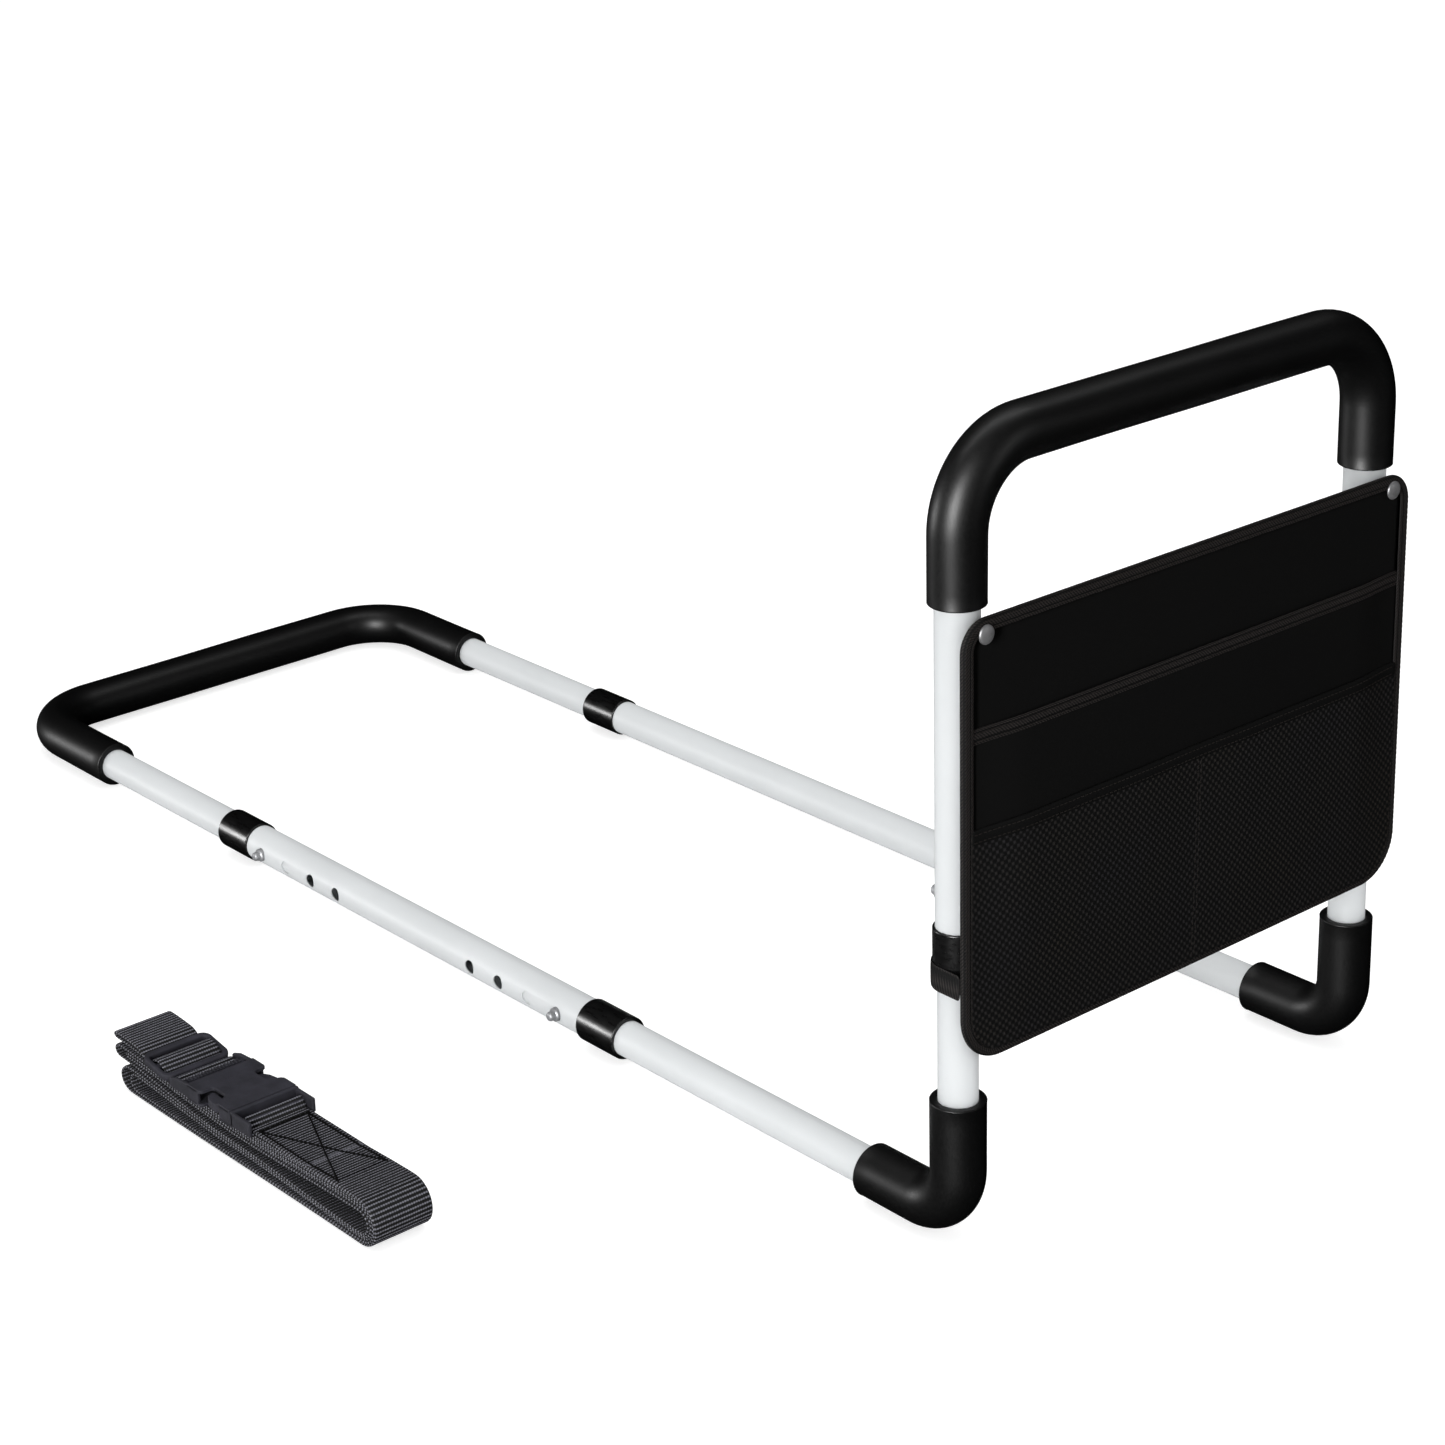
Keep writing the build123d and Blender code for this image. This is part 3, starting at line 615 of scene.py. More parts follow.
def make_foam():
    grip_z, end_x = GRIP_LOW.z, END_HIGH.x
    bore = TUBE_RADIUS + 0.15 * MM
    left, right = -SIDE_Y, SIDE_Y
    route = [(0, left, grip_z), (0, left, TOP_Z), (0, right, TOP_Z), (0, right, grip_z)]
    foam_sleeve("handle_foam", "handle_grip", "handle", route, HANDLE_BEND, bore, (1, 0, 0), 3)
    bore = INNER_RADIUS + 0.15 * MM
    route = [(end_x, left, RAIL_Z), (END_X, left, RAIL_Z), (END_X, right, RAIL_Z), (end_x, right, RAIL_Z)]
    foam_sleeve("end_foam", "end_frame_grip", "end_frame", route, END_BEND, bore, (0, 0, 1), 5)
    for word, side in SIDES.items():
        y = side * SIDE_Y
        route = [(0, y, SLEEVE_HIGH.z), (0, y, RAIL_Z), (SLEEVE_LOW.x, y, RAIL_Z)]
        node = "leg_sleeve_" + word
        foam_sleeve("leg_foam_" + word, node, "legs", route, LEG_BEND, bore, (0, 1, 0), 7 + side)


# ---- pocket

def outline_points(inset, spacing=2 * MM):
    """The pocket's rounded outline, inset, anticlockwise from the lower left: (y, z) and the way inwards."""
    half = POCKET_HIGH.y
    low, high = POCKET_LOW.z, POCKET_HIGH.z
    corners = [(-1, -1, LOW_CORNER), (1, -1, LOW_CORNER), (1, 1, TOP_CORNER), (-1, 1, TOP_CORNER)]
    points = []
    for index, (across, up, radius) in enumerate(corners):
        centre = Vector((across * (half - radius), (high if up > 0 else low) - up * radius))
        first = -math.pi + index * math.pi / 2
        count = max(6, math.ceil(radius * math.pi / 2 / spacing))
        for outward in map(polar, evenly(first, first + math.pi / 2, count)):
            points.append((centre + outward * (radius - inset), -outward))
    return spread(points, spacing)


def spread(points, spacing):
    """Adds points along the outline's straight sides."""
    spaced_out = []
    for (here, inward), (there, inward_there) in zip(points, points[1:] + points[:1]):
        count = max(1, math.ceil((there - here).length / spacing))
        for k in range(count):
            turned = inward.lerp(inward_there, k / count).normalized()
            spaced_out.append((here.lerp(there, k / count), turned))
    return spaced_out


def ripple(length, seed, size):
    """A small irregular wave along a seam, which repeats once round the pocket's outline."""
    rng = random.Random(seed)
    value = 0.0
    for turns in (31, 47, 83, 118):
        value += math.sin(2 * math.pi * turns * length + rng.uniform(0, 6.28)) * rng.uniform(0.5, 1.0)
    return size * value / 2.4


def make_binding():
    """The tape folded round the pocket's edge, puckered a little along its seams."""
    deep = (POCKET_HIGH.x - POCKET_LOW.x) / MM
    # (distance inwards, out from the back), in mm, along the tape from its back edge to its front one
    line = [(8.0, 0.75), (6.3, 0.62), (5.0, 0.5), (2.0, 0.45), (1.0, 0.8), (0.5, 1.5), (0.45, deep / 2)]
    line += [(into, deep - out) for into, out in reversed(line[:-1])]
    section = tape_section(line, 0.8)
    points = outline_points(0.0)
    perimeter = len(points) * 2 * MM
    rows = []
    for index, (place, inward) in enumerate(points):
        share = index / len(points)
        pucker = abs(ripple(share, 11, 0.25 * MM))
        row = []
        for into, out in section:
            moved = place + inward * (into * MM + pucker * (0.2 + into / 8))
            groove = ripple(share, 12, 0.10 * MM) * (out / deep - 0.5)
            row.append((POCKET_LOW.x + out * MM - abs(groove) * math.copysign(1, out - deep / 2), *moved))
        rows.append(row)
    distances = around(section)
    obj = tape("pocket_binding_tape", "pocket_binding", rows,
               lambda i, j: (distances[j] + BINDING_SHIFT, i / len(points) * perimeter), closed=True)


def panel_wave(y, z, seed, size):
    """A slow uneven wave over the cloth, so that it isn't dead flat."""
    rng = random.Random(seed)
    value = 0.0
    for _ in range(5):
        across, up, phase = rng.uniform(6, 34), rng.uniform(6, 30), rng.uniform(0, 6.28)
        value += math.sin(across * y + up * z + phase) * rng.uniform(0.4, 1.0)
    return size * value / 3


def edge_rise(distance, reach):
    """0 at a sewn edge, rising smoothly to 1 at reach from it."""
    t = max(0.0, min(1.0, distance / reach))
    return t * t * (3 - 2 * t)


def front_bulge(y, z):
    """How far the plain pocket's cloth stands off the back panel."""
    sides = edge_rise(PANEL_HALF - abs(y), 40 * MM)
    height = edge_rise(z - PANEL_LOW, FRONT_TOP - PANEL_LOW)
    return (1.0 + 1.8 * height) * MM * sides + panel_wave(y, z, 21, 0.35 * MM) * sides


def mesh_bulge(y, z):
    """How far the divided mesh pocket stands off the plain pocket: two soft bellies and a seam between."""
    sides = edge_rise(PANEL_HALF - abs(y), 45 * MM)
    seam = 0.55 + 0.45 * edge_rise(abs(y) - SEAM_HALF, 45 * MM)
    floor = edge_rise(z - PANEL_LOW, 45 * MM)
    belly = (1.3 + 0.3 * edge_rise(z - PANEL_LOW, MESH_TOP - PANEL_LOW)) * MM
    return belly * sides * seam * floor + panel_wave(y, z, 22, 0.3 * MM) * sides * floor


def front_x(y, z):
    return FRONT_X + front_bulge(y, z)


def mesh_x(y, z):
    return MESH_X + front_bulge(y, z) + mesh_bulge(y, z)


def inside_outline(y, z, inset):
    """Moves a point in to the rounded outline, at that inset."""
    half = POCKET_HIGH.y - inset
    low, high = POCKET_LOW.z + inset, POCKET_HIGH.z - inset
    y = max(-half, min(half, y))
    z = max(low, min(high, z))
    below = z < (low + high) / 2
    radius = (LOW_CORNER if below else TOP_CORNER) - inset
    centre = Vector((math.copysign(half - radius, y), low + radius if below else high - radius))
    out = Vector((y, z)) - centre
    past_side = abs(y) > half - radius
    past_end = z < centre.y if below else z > centre.y
    if past_side and past_end and out.length > radius:
        out = out.normalized() * radius
        return centre.x + out.x, centre.y + out.y
    return y, z


def cloth_panel(name, node, material, surface, top_z, columns, rows_up, thickness):
    """A closed thin panel on the surface x = surface(y, z), up to top_z, tucked under the binding."""
    inset = 5.0 * MM
    half = POCKET_HIGH.y - inset
    sheets = []
    for offset in (0.0, thickness):
        sheet = []
        for level in evenly(POCKET_LOW.z + inset, top_z, rows_up):
            places = [inside_outline(across, level, inset) for across in evenly(-half, half, columns)]
            sheet.append([(surface(y, z) + offset, y, z) for y, z in places])
        sheets.append(sheet)
    obj = piece(name, double_sheet(name, *sheets), material, "handle", (node,))


def double_sheet(name, back, front):
    """One closed mesh from two grids of the same size, joined round their rims."""
    width = len(back[0])
    size = len(back) * width
    starts = range(0, size - width, width)
    faces = []
    for start in starts:
        for c in range(start, start + width - 1):
            quad = [c, c + width, c + width + 1, c + 1]
            faces += [quad, [size + quad[k] for k in (0, 3, 2, 1)]]
    rims = [(c, c + width) for start in starts for c in (start, start + width - 1)]
    rims += [(c + k, c + k + 1) for k in range(width - 1) for c in (0, size - width)]
    faces += [[a, b, size + b, size + a] for a, b in rims]
    return shut(mesh_of(name, [point for sheet in (back, front) for row in sheet for point in row], faces))


def make_hem(name, node, surface, top_z, material, seed):
    """The tape over a pocket's top edge, following that edge's bulge."""
    # (out from the cloth's back, down from the top edge), in mm, over the edge from back to front
    line = [(-0.3, 9.0), (-0.35, 6.0), (-0.35, 2.0), (-0.1, 0.6), (0.5, 0.3), (1.3, 0.6), (1.55, 2.0)]
    line += [(1.30, 2.7), (1.6, 3.6), (1.6, 6.2), (1.25, 7.2), (1.45, 9.0)]
    section = tape_section(line, 0.5)
    half = POCKET_HIGH.y - 6 * MM
    length = 2 * half
    steps = 150
    rows = []
    for k, y in enumerate(evenly(-half, half, steps)):
        pucker = ripple(k / steps, seed, 0.12 * MM)
        row = []
        for out, down in section:
            row.append((surface(y, top_z - 4 * MM) + out * MM, y, top_z - down * MM + pucker))
        rows.append(row)
    distances = around(section)
    obj = tape(name, node, rows, lambda i, j: (distances[j], i / steps * length), material=material)


def make_loop(word, side):
    """The tape loop that holds the pocket to one collar of the handle: a U round the collar's back."""
    radius = (LOOP_HIGH.y - LOOP_LOW.y) / 2 - 0.5 * MM
    reach = LOOP_HIGH.x - 0.3 * MM
    centre_y = side * SIDE_Y
    route = [Vector((reach * (1 - k / 6), -radius)) for k in range(6)]
    for angle in evenly(-math.pi / 2, -3 * math.pi / 2, 32):
        route.append(Vector((radius * math.cos(angle), radius * math.sin(angle))))
    route += [Vector((reach * (k + 1) / 6, radius)) for k in range(6)]
    low, high = LOOP_LOW.z, LOOP_HIGH.z
    middle, half = (low + high) / 2, (high - low) / 2
    # (out from the tape's middle, share of its half height), round the section
    section = [(0.45, -0.9), (0.5, -0.6), (0.42, -0.45), (0.5, -0.2), (0.5, 0.2), (0.42, 0.45), (0.5, 0.6)]
    section += [(0.45, 0.9), (0.0, 1.0), (-0.45, 0.9), (-0.5, 0.0), (-0.45, -0.9), (0.0, -1.0)]
    rows = []
    lengths = travelled(route)
    for k, place in enumerate(route):
        ahead = heading(route, k)
        out = Vector((ahead.y, -ahead.x))
        row = []
        for off, up in section:
            moved = place + out * off * MM
            row.append((moved.x, centre_y + moved.y, middle + up * half))
        rows.append(row)
    obj = tape("pocket_loop_tape_" + word, "pocket_loop_" + word, rows,
               lambda i, j: (j * 1.3 * MM, lengths[i]))


def thread(places, length=2.5 * MM, radius=0.26 * MM):
    """The points and faces of short sewn stitches. places holds (middle, direction) pairs."""
    points, faces = [], []
    rings = [(-1.0, 0.35), (-0.75, 0.85), (0.0, 1.0), (0.75, 0.85), (1.0, 0.35)]
    sides = 6
    for middle, direction in places:
        across = direction.orthogonal().normalized()
        other = direction.cross(across).normalized()
        first = len(points)
        for reach, thick in rings:
            for cosine, sine in circle(sides):
                out = (across * cosine + other * sine) * radius * thick
                points.append(tuple(middle + direction * (reach * length / 2) + out))
        for r in range(len(rings) - 1):
            for s in range(sides):
                a, b = first + r * sides + s, first + r * sides + (s + 1) % sides
                faces.append([a, b, b + sides, a + sides])
        faces.append([first + s for s in reversed(range(sides))])
        faces.append([first + (len(rings) - 1) * sides + s for s in range(sides)])
    return points, faces


def stitch_piece(name, places, body, slot, material="thread", **sizes):
    piece(name, mesh_of(name, *thread(places, **sizes)), material, body)


def row_of_stitches(points, pitch=3.3 * MM):
    """Stitch places along a line of points, evenly spaced."""
    places = []
    carried = 0.0
    for here, there in zip(points, points[1:]):
        gap = (there - here).length
        direction = (there - here).normalized()
        while carried <= gap:
            places.append((here + direction * carried, direction))
            carried += pitch
        carried -= gap
    return places


def make_stitches():
    """Rows of thread along the binding, the hems and the divider seam."""
    places = []
    front, back = POCKET_HIGH.x + 0.02 * MM, POCKET_LOW.x - 0.02 * MM
    for inset, x in ((1.9 * MM, front), (6.3 * MM, front - 0.3 * MM), (6.3 * MM, back + 0.3 * MM)):
        line = [Vector((x, place.x, place.y)) for place, _ in outline_points(inset)]
        places += row_of_stitches(line + line[:1])
    half = POCKET_HIGH.y - 9 * MM
    out = 1.82 * MM
    for surface, top_z in ((front_x, FRONT_TOP), (mesh_x, MESH_TOP)):
        for down in (2.6 * MM, 7.2 * MM):
            line = [(surface(y, top_z - 4 * MM) + out, y, top_z - down) for y in evenly(-half, half, 120)]
            places += row_of_stitches([Vector(point) for point in line])
    for y in (-1.3 * MM, 1.3 * MM):
        levels = evenly(PANEL_LOW + 1 * MM, MESH_TOP - 9.5 * MM, 60)
        places += row_of_stitches([Vector((mesh_x(y, z) + NET - 0.05 * MM, y, z)) for z in levels])
    stitch_piece("pocket_stitching", places, "handle", "binding_tape")


def make_patch(word, side):
    """The sewn pad behind one top corner, which holds the cloth off the tube."""
    low_x, high_x = TUBE_RADIUS + 0.1 * MM, POCKET_LOW.x + 0.2 * MM
    half_y, half_z = PATCH_HALF
    work = bmesh.new()
    bmesh.ops.create_cube(work, size=1.0)
    middle = Vector(((low_x + high_x) / 2, side * SIDE_Y, RIVET_Z - PATCH_DROP))
    size = Vector((high_x - low_x, 2 * half_y, 2 * half_z))
    for vertex in work.verts:
        vertex.co = middle + Vector([a * b for a, b in zip(vertex.co, size)])
    bmesh.ops.bevel(work, geom=list(work.edges), offset=1.2 * MM, segments=4, profile=0.6, affect="EDGES")
    name = "pocket_patch_" + word
    piece(name, baked(work, name), "cloth", "handle")


def make_rivets():
    """The two domed rivet heads, with a thin rim, and their stems down to the handle tube."""
    radius = (RIVET_HIGH.z - RIVET_LOW.z) / 2 / MM
    low, high = (RIVET_LOW.x + 2 * MM) / MM, RIVET_HIGH.x / MM
    foot = POCKET_HIGH.x / MM - 0.1
    dome = foot + 0.6
    # (distance from the axis, X), in mm, from the stem's foot out to the top of the dome
    profile = [(0.01, low), (2.0, low), (2.0, foot)]
    profile += [(radius - 0.3, foot), (radius, foot + 0.25), (radius, dome)]
    for turn in evenly(0, math.pi / 2, 9)[1:]:
        profile.append((radius * math.cos(turn) + 0.01, dome + (high - dome) * math.sin(turn)))
    meshes = []
    for side in SIDES.values():
        rows = []
        for cosine, sine in circle(40):
            row = []
            for reach, x in profile:
                row.append((x * MM, side * SIDE_Y + reach * MM * cosine, RIVET_Z + reach * MM * sine))
            rows.append(row)
        meshes.append(shut(grid_mesh("rivet", rows, True, False)))
    mesh = joined("pocket_rivet_heads", meshes, Matrix.Identity(4))
    piece("pocket_rivet_heads", mesh, "rivet", "handle", ("pocket_rivets",))


def make_pocket():
    cloth_panel("pocket_panel", "pocket_back", "cloth",
                lambda y, z: POCKET_LOW.x + 0.5 * MM + panel_wave(y, z, 20, 0.2 * MM),
                POCKET_HIGH.z - 5 * MM, 90, 64, CLOTH)
    cloth_panel("pocket_front_cloth", "pocket_front", "cloth", front_x,
                FRONT_TOP - 1 * MM, 100, 60, CLOTH)
    cloth_panel("pocket_net", "pocket_mesh", "net", mesh_x,
                MESH_TOP - 1 * MM, 140, 70, NET)
    make_binding()
    make_hem("pocket_front_tape", "pocket_front_hem", front_x, FRONT_TOP, "binding", 31)
    make_hem("pocket_net_tape", "pocket_mesh_hem", mesh_x, MESH_TOP, "cloth", 32)
    for word, side in SIDES.items():
        make_loop(word, side)
        make_patch(word, side)
    make_rivets()
    make_stitches()


# ---- strap

def run_height(run, x):
    """The height of one run of webbing at x, eased between its three given heights."""
    left, middle, right = (height * MM for height in LAYERS[run])
    if x < STRAP_MIDDLE_X:
        return left + (middle - left) * edge_rise(x - STRAP_LEFT_X, STRAP_MIDDLE_X - STRAP_LEFT_X)
    return middle + (right - middle) * edge_rise(x - STRAP_MIDDLE_X, FOLD_X - STRAP_MIDDLE_X)


def run_points(run, start_x, end_x, step=4 * MM):
    count = max(2, math.ceil(abs(end_x - start_x) / step))
    return [Vector((x, run_height(run, x))) for x in evenly(start_x, end_x, count)]


def fold_points(upper, lower, x, bulge):
    """The end fold from one run to another, as a half ellipse. A negative bulge turns to the left."""
    high, low = run_height(upper, x), run_height(lower, x)
    middle, half = (high + low) / 2, (high - low) / 2
    angles = evenly(0, math.pi, 14)[1:-1]
    return [Vector((x + bulge * math.sin(angle), middle + half * math.cos(angle))) for angle in angles]


def strap_route():
    """The webbing's middle line in the X-Z plane, from its sewn end to the female buckle."""
    points = [Vector((x, SEWN_END_Z)) for x in np.linspace(SEWN_END_X, MALE_BAR_X + 6 * MM, 16)]
    bar = Vector((MALE_BAR_X, MALE_BAR_Z))
    points += [bar + polar(angle) * MALE_BAR_TURN for angle in evenly(-math.pi / 2, -3 * math.pi / 2, 8)]
    points += run_points(0, MALE_BAR_X + 7 * MM, FOLD_X)
    at_right = True
    run = 0
    for following in RUN_ORDER:
        upper, lower = sorted((run, following))
        if at_right:
            start, bulge = FOLD_X, (run_height(upper, FOLD_X) - run_height(lower, FOLD_X)) / 2
            end = next(x for runs, (x, _) in LEFT_FOLDS.items() if following in runs)
        else:
            start, bulge = LEFT_FOLDS[upper, lower]
            bulge *= -MM
            end = FOLD_X if following else SLIDE_LEFT_X
        turn = fold_points(upper, lower, start, bulge)
        points += turn if run == upper else turn[::-1]
        points += run_points(following, start, end)
        at_right = not at_right
        run = following
    return points + slide_route()


def slide_route():
    """Under the slide's left bar, over its middle bar, under its right bar, then into the female buckle."""
    points = []
    for distance, lift in SLIDE_PATH:
        x = SLIDE_MIDDLE_X + distance * MM
        points.append(Vector((x, seat_height(x) + lift * MM)))
    for distance, lift in FEMALE_PATH:
        points.append(Vector((FEMALE_LOW.x + distance * MM, FEMALE_LOW.z + lift * MM)))
    return points


def seat_height(x):
    """The height of the folded webbing's top, which rises to the left of the buckle."""
    return SEAT_Z + max(0.0, FEMALE_LOW.x - x) * SEAT_SLOPE


def smooth_line(points, passes):
    """The same line with its kinks eased: each point moves towards the middle of its neighbours."""
    for _ in range(passes):
        eased = [(a + 2 * b + c) / 4 for a, b, c in zip(points, points[1:], points[2:])]
        points = [points[0], *eased, points[-1]]
    return points


def even_line(points, step):
    """The line again, with points an even step apart."""
    lengths = travelled(points)
    count = max(2, round(lengths[-1] / step))
    wanted = np.linspace(0, lengths[-1], count + 1)
    xs = np.interp(wanted, lengths, [point.x for point in points])
    zs = np.interp(wanted, lengths, [point.y for point in points])
    return [Vector((x, z)) for x, z in zip(xs, zs)], lengths[-1]


def make_strap():
    """The folded strap as one woven ribbon, with rounded selvedges."""
    line, length = even_line(smooth_line(even_line(strap_route(), 1.5 * MM)[0], 3), WEB_RIB / 3)
    half_width, half_thick = WEB_WIDTH / 2, WEB_THICK / 2
    # (share of the half width, share of the half thickness), round the upper half of the webbing's section
    section = [(-1.0, 0.0), (-0.985, 0.75), (-0.94, 1.0), (-0.5, 0.94), (0.0, 1.0), (0.5, 0.94), (0.94, 1.0)]
    section.append((0.985, 0.75))
    section += [(-across, -thick) for across, thick in section]
    rows = []
    for k, place in enumerate(line):
        ahead = heading(line, k)
        up = Vector((-ahead.y, ahead.x))
        sway = 0.5 * MM * math.sin(k * 0.0065 + 1.0) + 0.25 * MM * math.sin(k * 0.021)
        rib = 1.0 + (0.12 if k % 3 == 0 else -0.08)
        row = []
        for across, thick in section:
            moved = place + up * thick * half_thick * rib
            row.append((moved.x, STRAP_Y + across * (half_width - 0.7 * MM) + sway, moved.y))
        rows.append(row)
    count = len(line) - 1
    mesh = grid_mesh("strap_ribbon", rows, False, True, lambda i, j: (
        section[j % len(section)][0] * half_width, i / count * length))
    obj = piece("strap_ribbon", shut(mesh), "webbing", "strap", ("strap_webbing",))
    make_strap_stitches()


def make_strap_stitches():
    """The box and cross that sew the strap's end round the male buckle's bar."""
    low_x, high_x = MALE_BAR_X + 11 * MM, SEWN_END_X - 2 * MM
    low_y, high_y = STRAP_Y - WEB_WIDTH / 2 + 4 * MM, STRAP_Y + WEB_WIDTH / 2 - 4 * MM
    corners = [(low_x, low_y), (high_x, low_y), (high_x, high_y), (low_x, high_y)]
    sides = list(zip(corners, corners[1:] + corners[:1]))
    sides += [(corners[0], corners[2]), (corners[1], corners[3])]
    places = []
    for start, end in sides:
        line = []
        for x, y in zip(evenly(start[0], end[0], 20), evenly(start[1], end[1], 20)):
            top = max(run_height(0, x), SEWN_END_Z)
            line.append(Vector((x, y, top + WEB_THICK / 2 + STRAP_THREAD / 2)))
        places += row_of_stitches(line, 3.6 * MM)
    sizes = {"length": 3.4 * MM, "radius": STRAP_THREAD}
    stitch_piece("strap_stitching", places, "strap", "webbing", "strap_thread", **sizes)


# ---- buckle and slide

def slab(outline, low, high, bevel):
    """A closed plate over an outline of (x, y) points in millimetres, with rounded edges."""
    work = bmesh.new()
    vertices = [work.verts.new((x * MM, y * MM, low * MM)) for x, y in outline]
    face = work.faces.new(vertices)
    moved = bmesh.ops.extrude_face_region(work, geom=[face])
    for item in moved["geom"]:
        if isinstance(item, bmesh.types.BMVert):
            item.co.z = high * MM
    bmesh.ops.recalc_face_normals(work, faces=work.faces)
    edges = [edge for edge in work.edges if edge.calc_face_angle(0) > 0.6]
    bmesh.ops.bevel(work, geom=edges, offset=bevel * MM, segments=3, profile=0.5, affect="EDGES",
                    clamp_overlap=True)
    return baked(work, "slab")


def joined(name, meshes, matrix):
    """Several closed shells as one mesh, moved into place."""
    work = bmesh.new()
    for mesh in meshes:
        work.from_mesh(mesh)
        bpy.data.meshes.remove(mesh)
    work.transform(matrix)
    return baked(work, name)


def block(x0, x1, y0, y1, z0, z1, bevel):
    """A box with rounded edges, in millimetres."""
    return slab([(x0, y0), (x1, y0), (x1, y1), (x0, y1)], z0, z1, bevel)


def side_slab(outline, low_y, high_y, bevel):
    """A closed plate over an outline of (x, z) points in millimetres, from low_y to high_y."""
    mesh = slab(outline, -high_y, -low_y, bevel)
    mesh.transform(Matrix.Rotation(math.pi / 2, 4, "X"))
    return mesh


def curve_points(centre, radius, start, end, count):
    """Points on an arc, angles in degrees."""
    angles = [math.radians(angle) for angle in evenly(start, end, count)]
    return [(centre[0] + radius * math.cos(angle), centre[1] + radius * math.sin(angle)) for angle in angles]


def rounded_rectangle(half_x, half_y, corner):
    """An outline with its middle at the origin, and corners of one radius."""
    points = []
    for x, y, first in ((1, 1, 0), (-1, 1, 90), (-1, -1, 180), (1, -1, 270)):
        centre = (x * (half_x - corner), y * (half_y - corner))
        points += curve_points(centre, corner, first, first + 90, 7)
    return points


def housing_outline(half):
    """The female buckle's plate: straight ends, and a rounded window on each side."""
    right = [(HOUSE_START, half), (WINDOW_START - 3, half)]
    right += curve_points((WINDOW_START, half - 3), 3, 90, 0, 5)
    right += [(WINDOW_START + 3, half - WINDOW_DEPTH + 2)]
    right += curve_points((WINDOW_START + 5.5, half - WINDOW_DEPTH + 2.0), 2.5, 180, 270, 5)
    right += curve_points((WINDOW_END - 5.0, half - WINDOW_DEPTH + 2.5), 3, -90, -20, 5)
    right += [(WINDOW_END + 1.0, half - 1.5), (WINDOW_END + 3.0, half), (FEMALE_LENGTH, half)]
    return right[::-1] + [(x, -y) for x, y in right]


def buckle_part(name, node, shells):
    mesh = joined(name, shells, Matrix.Translation((FEMALE_LOW.x, STRAP_Y, FEMALE_LOW.z)))
    piece(name, mesh, "buckle", "strap", (node,), smooth=False)


def make_female():
    """The buckle's housing, with a knurled ladder bar and open windows at its sides."""
    half, high = BUCKLE_HALF, BUCKLE_TALL
    shells = [slab(housing_outline(half), high - 2.2, high, 0.7), slab(housing_outline(half), 0.0, 1.8, 0.5)]
    for side in (-1, 1):
        y0, y1 = sorted((side * (half - 2.4), side * half))
        wall_end = HOUSE_START + 2
        wall = [(0, 1.2), (wall_end, 0.6), (wall_end, high - 0.5), (8, high - 1.6), (0, high - 4.4)]
        shells.append(side_slab(wall, y0, y1, 0.9))
        shells.append(block(HOUSE_START, WINDOW_START - 0.5, y0, y1, 0.3, high - 0.3, 0.8))
        shells.append(block(WINDOW_END + 2.5, FEMALE_LENGTH, y0, y1, 0.3, high - 0.3, 0.8))
    shells.append(block(0.4, 4.6, 1 - half, half - 1, 0.8, 4.8, 0.9))
    shells.append(block(LADDER_X - 2, LADDER_X + 2, 1 - half, half - 1, 2.6, 7.8, 0.9))
    ridges = 17
    for k in range(ridges):
        y = (k - (ridges - 1) / 2) * 2.3
        shells.append(block(LADDER_X - 2.3, LADDER_X + 2.3, y - 0.6, y + 0.6, 5.6, 8.6, 0.4))
    shells.append(block(HOUSE_START, HOUSE_START + 2.0, 1 - half, half - 1, 1.0, 3.2, 0.4))
    buckle_part("buckle_housing", "buckle_female", shells)


def arm_outline(side):
    """One springy arm of the plug in plan: a slim beam, and a hooked pad that fills the window."""
    edge = BUCKLE_HALF - 0.6
    inner = edge - WINDOW_DEPTH + 0.6
    root, near, far = FEMALE_LENGTH + 3, WINDOW_END, WINDOW_START
    points = [(root, edge - 6.5), (root, edge - 3.6), (near + 0.5, edge - 3.4), (near - 2.0, edge - 0.4)]
    points += [(near - 5.0, edge), (far + 9.0, edge - 1.2), (far + 5.5, edge - 3.2), (far + 4.0, inner + 1.4)]
    points += [(far + 6.0, inner), (near - 6.0, inner + 0.6), (near + 1.0, edge - 6.8)]
    return [(x, side * y) for x, y in points]


def make_male():
    """The buckle's plug: a frame with the webbing's bar, and two arms that show in the windows."""
    half, high = BUCKLE_HALF, BUCKLE_TALL
    start, end = FEMALE_LENGTH + 0.3, FEMALE_LENGTH + MALE_LENGTH
    shells = [block(start, start + 3.0, -half, half, 0.4, high - 0.2, 0.8)]
    for side in (-1, 1):
        y0, y1 = sorted((side * (half - 2.6), side * half))
        shells.append(block(start, end, y0, y1, 0.6, high - 0.8, 1.1))
        shells.append(slab(arm_outline(side), 2.6, high - 2.7, 0.5))
    shells.append(block(MALE_BAR - 2.2, MALE_BAR + 2.2, 1 - half, half - 1, 3.4, 8.0, 1.0))
    buckle_part("buckle_plug", "buckle_male", shells)


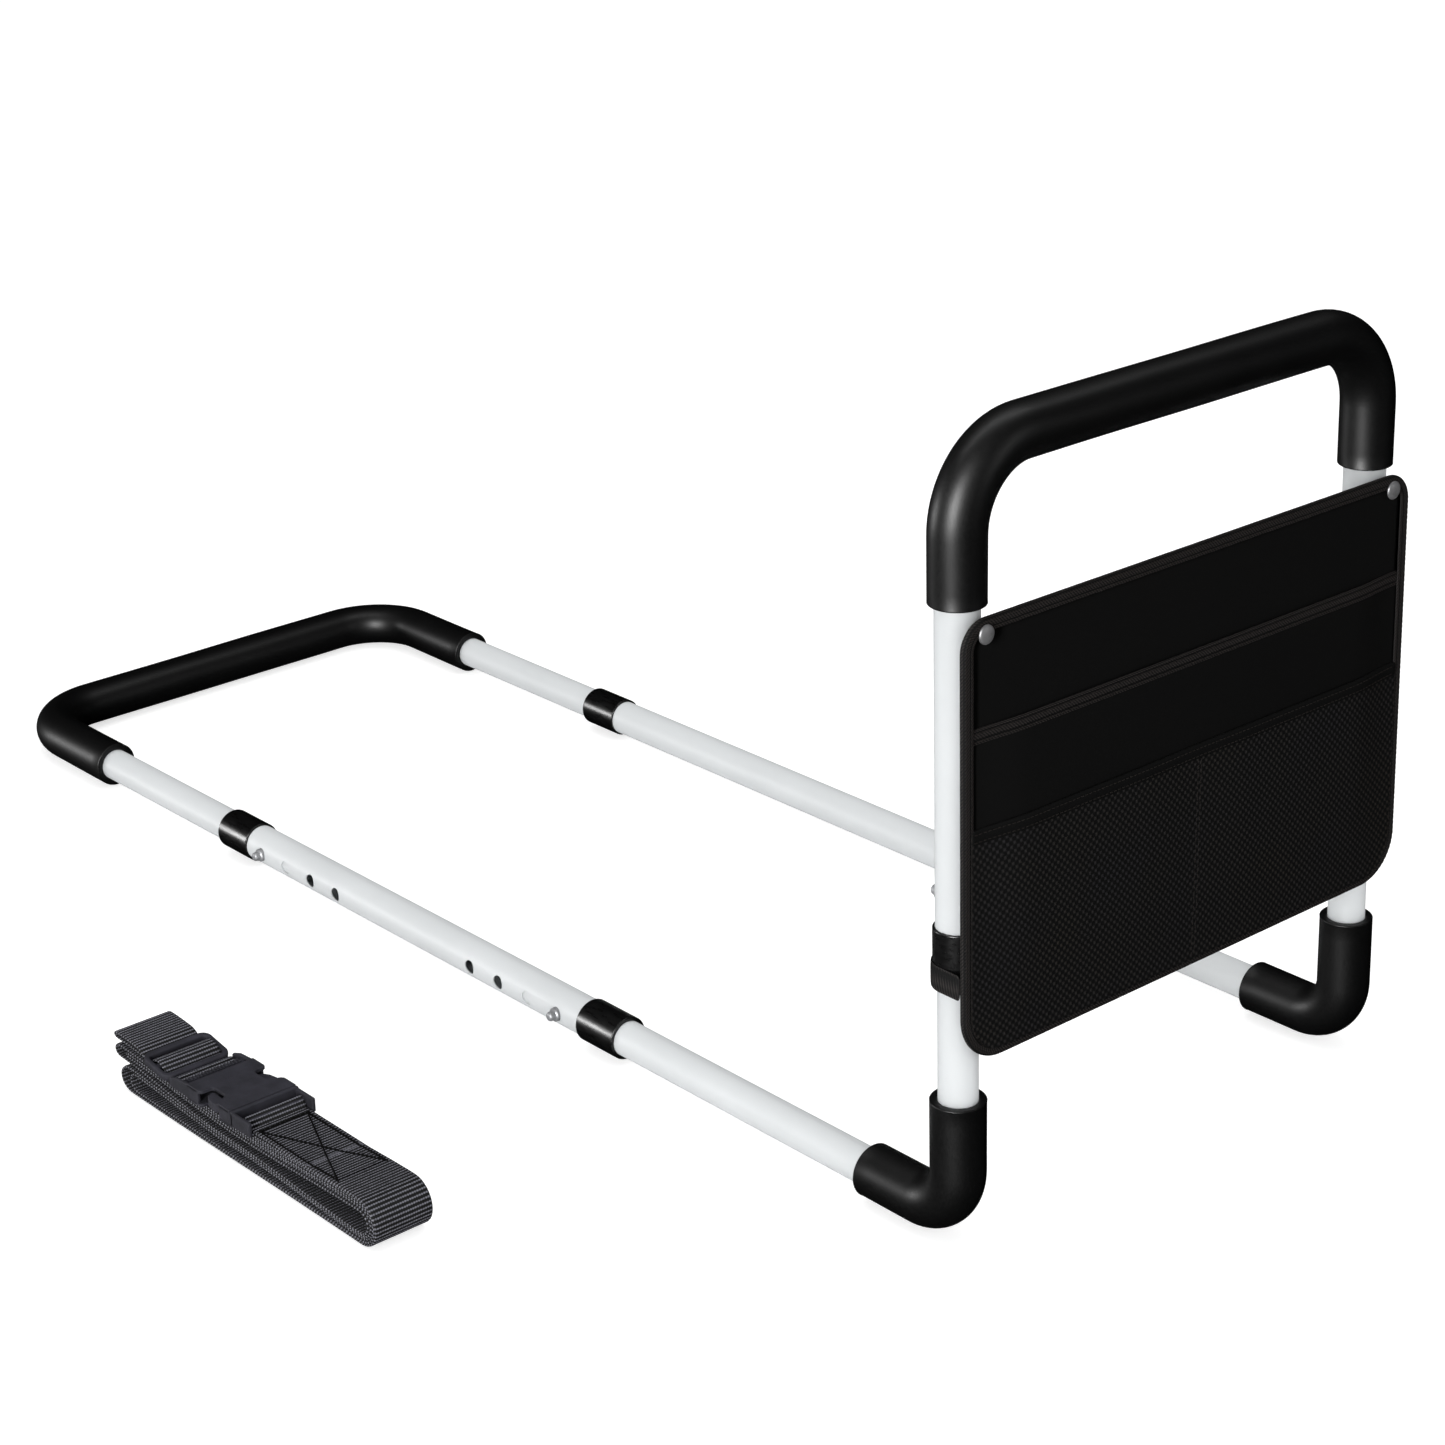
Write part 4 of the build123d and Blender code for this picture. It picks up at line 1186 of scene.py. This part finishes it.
def make_slide():
    """The three-bar slide: a rounded rim, whose ends are two of the bars, and a bar across its middle."""
    half_x, half_y = SLIDE_LENGTH / 2, BUCKLE_HALF
    rim = rounded_rectangle(half_x, half_y, 6.5)
    hole = rounded_rectangle(half_x - 4.4, half_y - 3.0, 3.0)
    # (distance in from the rim's face, height), in mm, from its foot to its top
    levels = [(0.5, 0.2), (0.0, 0.9), (0.0, 3.6), (0.25, 4.3), (0.9, 4.6)]
    rows = []
    for outer, inner in zip(rim, hole):
        out = (Vector(outer) - Vector(inner)).normalized()
        ring = [(outer[0] - out.x * inward, outer[1] - out.y * inward, z) for inward, z in levels]
        ring += [(inner[0] + out.x * inward, inner[1] + out.y * inward, z) for inward, z in reversed(levels)]
        rows.append([tuple(value * MM for value in point) for point in ring])
    frame_mesh = shut(grid_mesh("slide_rim", rows, True, True))
    bar = block(-2.4, 2.4, 1.5 - half_y, half_y - 1.5, 0.4, 3.9, 1.2)
    tilt = Matrix.Rotation(math.atan(SEAT_SLOPE), 4, "Y")
    lifted = Matrix.Translation((SLIDE_MIDDLE_X, STRAP_Y, seat_height(SLIDE_MIDDLE_X) + 0.2 * MM)) @ tilt
    mesh = joined("strap_adjuster", [frame_mesh, bar], lifted)
    piece("strap_adjuster", mesh, "buckle", "strap", ("strap_slide",))


# ---- carried-over nodes

def finish_cad_nodes():
    """Gives each CAD node that stays in view its material."""
    for words, material in NODE_MATERIALS.items():
        for name, node in NODES.items():
            if name.startswith(words):
                node.data.materials.clear()
                node.data.materials.append(MATERIALS[material])
                for polygon in node.data.polygons:
                    polygon.material_index = 0


# ---- floor, light, camera

def make_floor():
    corners = [(x * FLOOR_REACH, y * FLOOR_REACH, 0) for x, y in ((-1, -1), (1, -1), (1, 1), (-1, 1))]
    mesh = mesh_of("floor", corners, [(0, 1, 2, 3)])
    mesh.materials.append(MATERIALS["floor"])
    floor = bpy.data.objects.new("floor", mesh)
    floor.location.z = -FLOOR_DROP
    floor.visible_glossy = False
    bpy.context.scene.collection.objects.link(floor)


def area_light(name, place, size, power, diffuse, gloss):
    """A rectangular light, which may be left out of the diffuse light or of the glossy reflections."""
    light = bpy.data.lights.new(name, "AREA")
    light.shape = "RECTANGLE"
    light.size, light.size_y = size
    light.energy = power
    obj = bpy.data.objects.new(name, light)
    bpy.context.scene.collection.objects.link(obj)
    obj.location = place
    obj.rotation_euler = (Vector(LIGHT_TARGET) - Vector(place)).to_track_quat("-Z", "Y").to_euler()
    obj.visible_diffuse, obj.visible_glossy = diffuse, gloss


def make_lights():
    world = bpy.data.worlds.new("studio")
    bpy.context.scene.world = world
    world.use_nodes = True
    background = world.node_tree.nodes["Background"]
    background.inputs["Color"].default_value = (1, 1, 1, 1)
    backdrop_glow(world.node_tree, background.inputs["Strength"], SKY_GLOW)
    world.cycles_visibility.glossy = False
    for name, settings in LIGHTS.items():
        area_light(name, *settings)
    bpy.context.scene.view_settings.view_transform = "Standard"
    bpy.context.scene.view_settings.look = "None"


def make_camera():
    """The camera, turned by its azimuth, its elevation and its roll."""
    azimuth, elevation, roll = (math.radians(angle) for angle in CAMERA_TURN)
    back = Vector((math.sin(azimuth) * math.cos(elevation), -math.cos(azimuth) * math.cos(elevation),
                   math.sin(elevation)))
    right = Vector((0, 0, 1)).cross(back).normalized()
    up = back.cross(right)
    turned_right = right * math.cos(roll) + up * math.sin(roll)
    turned_up = up * math.cos(roll) - right * math.sin(roll)
    data = bpy.data.cameras.new("camera")
    data.lens = CAMERA_LENS
    data.sensor_width = CAMERA_SENSOR
    data.shift_y = CAMERA_SHIFT
    data.clip_end = 100
    camera = bpy.data.objects.new("camera", data)
    bpy.context.scene.collection.objects.link(camera)
    turn = Matrix((turned_right, turned_up, back)).transposed()
    camera.matrix_world = Matrix.Translation(CAMERA_PLACE) @ turn.to_4x4()
    bpy.context.scene.camera = camera


make_camera()
make_floor()
make_lights()
finish_cad_nodes()
make_foam()
make_pocket()
make_strap()
make_female()
make_male()
make_slide()
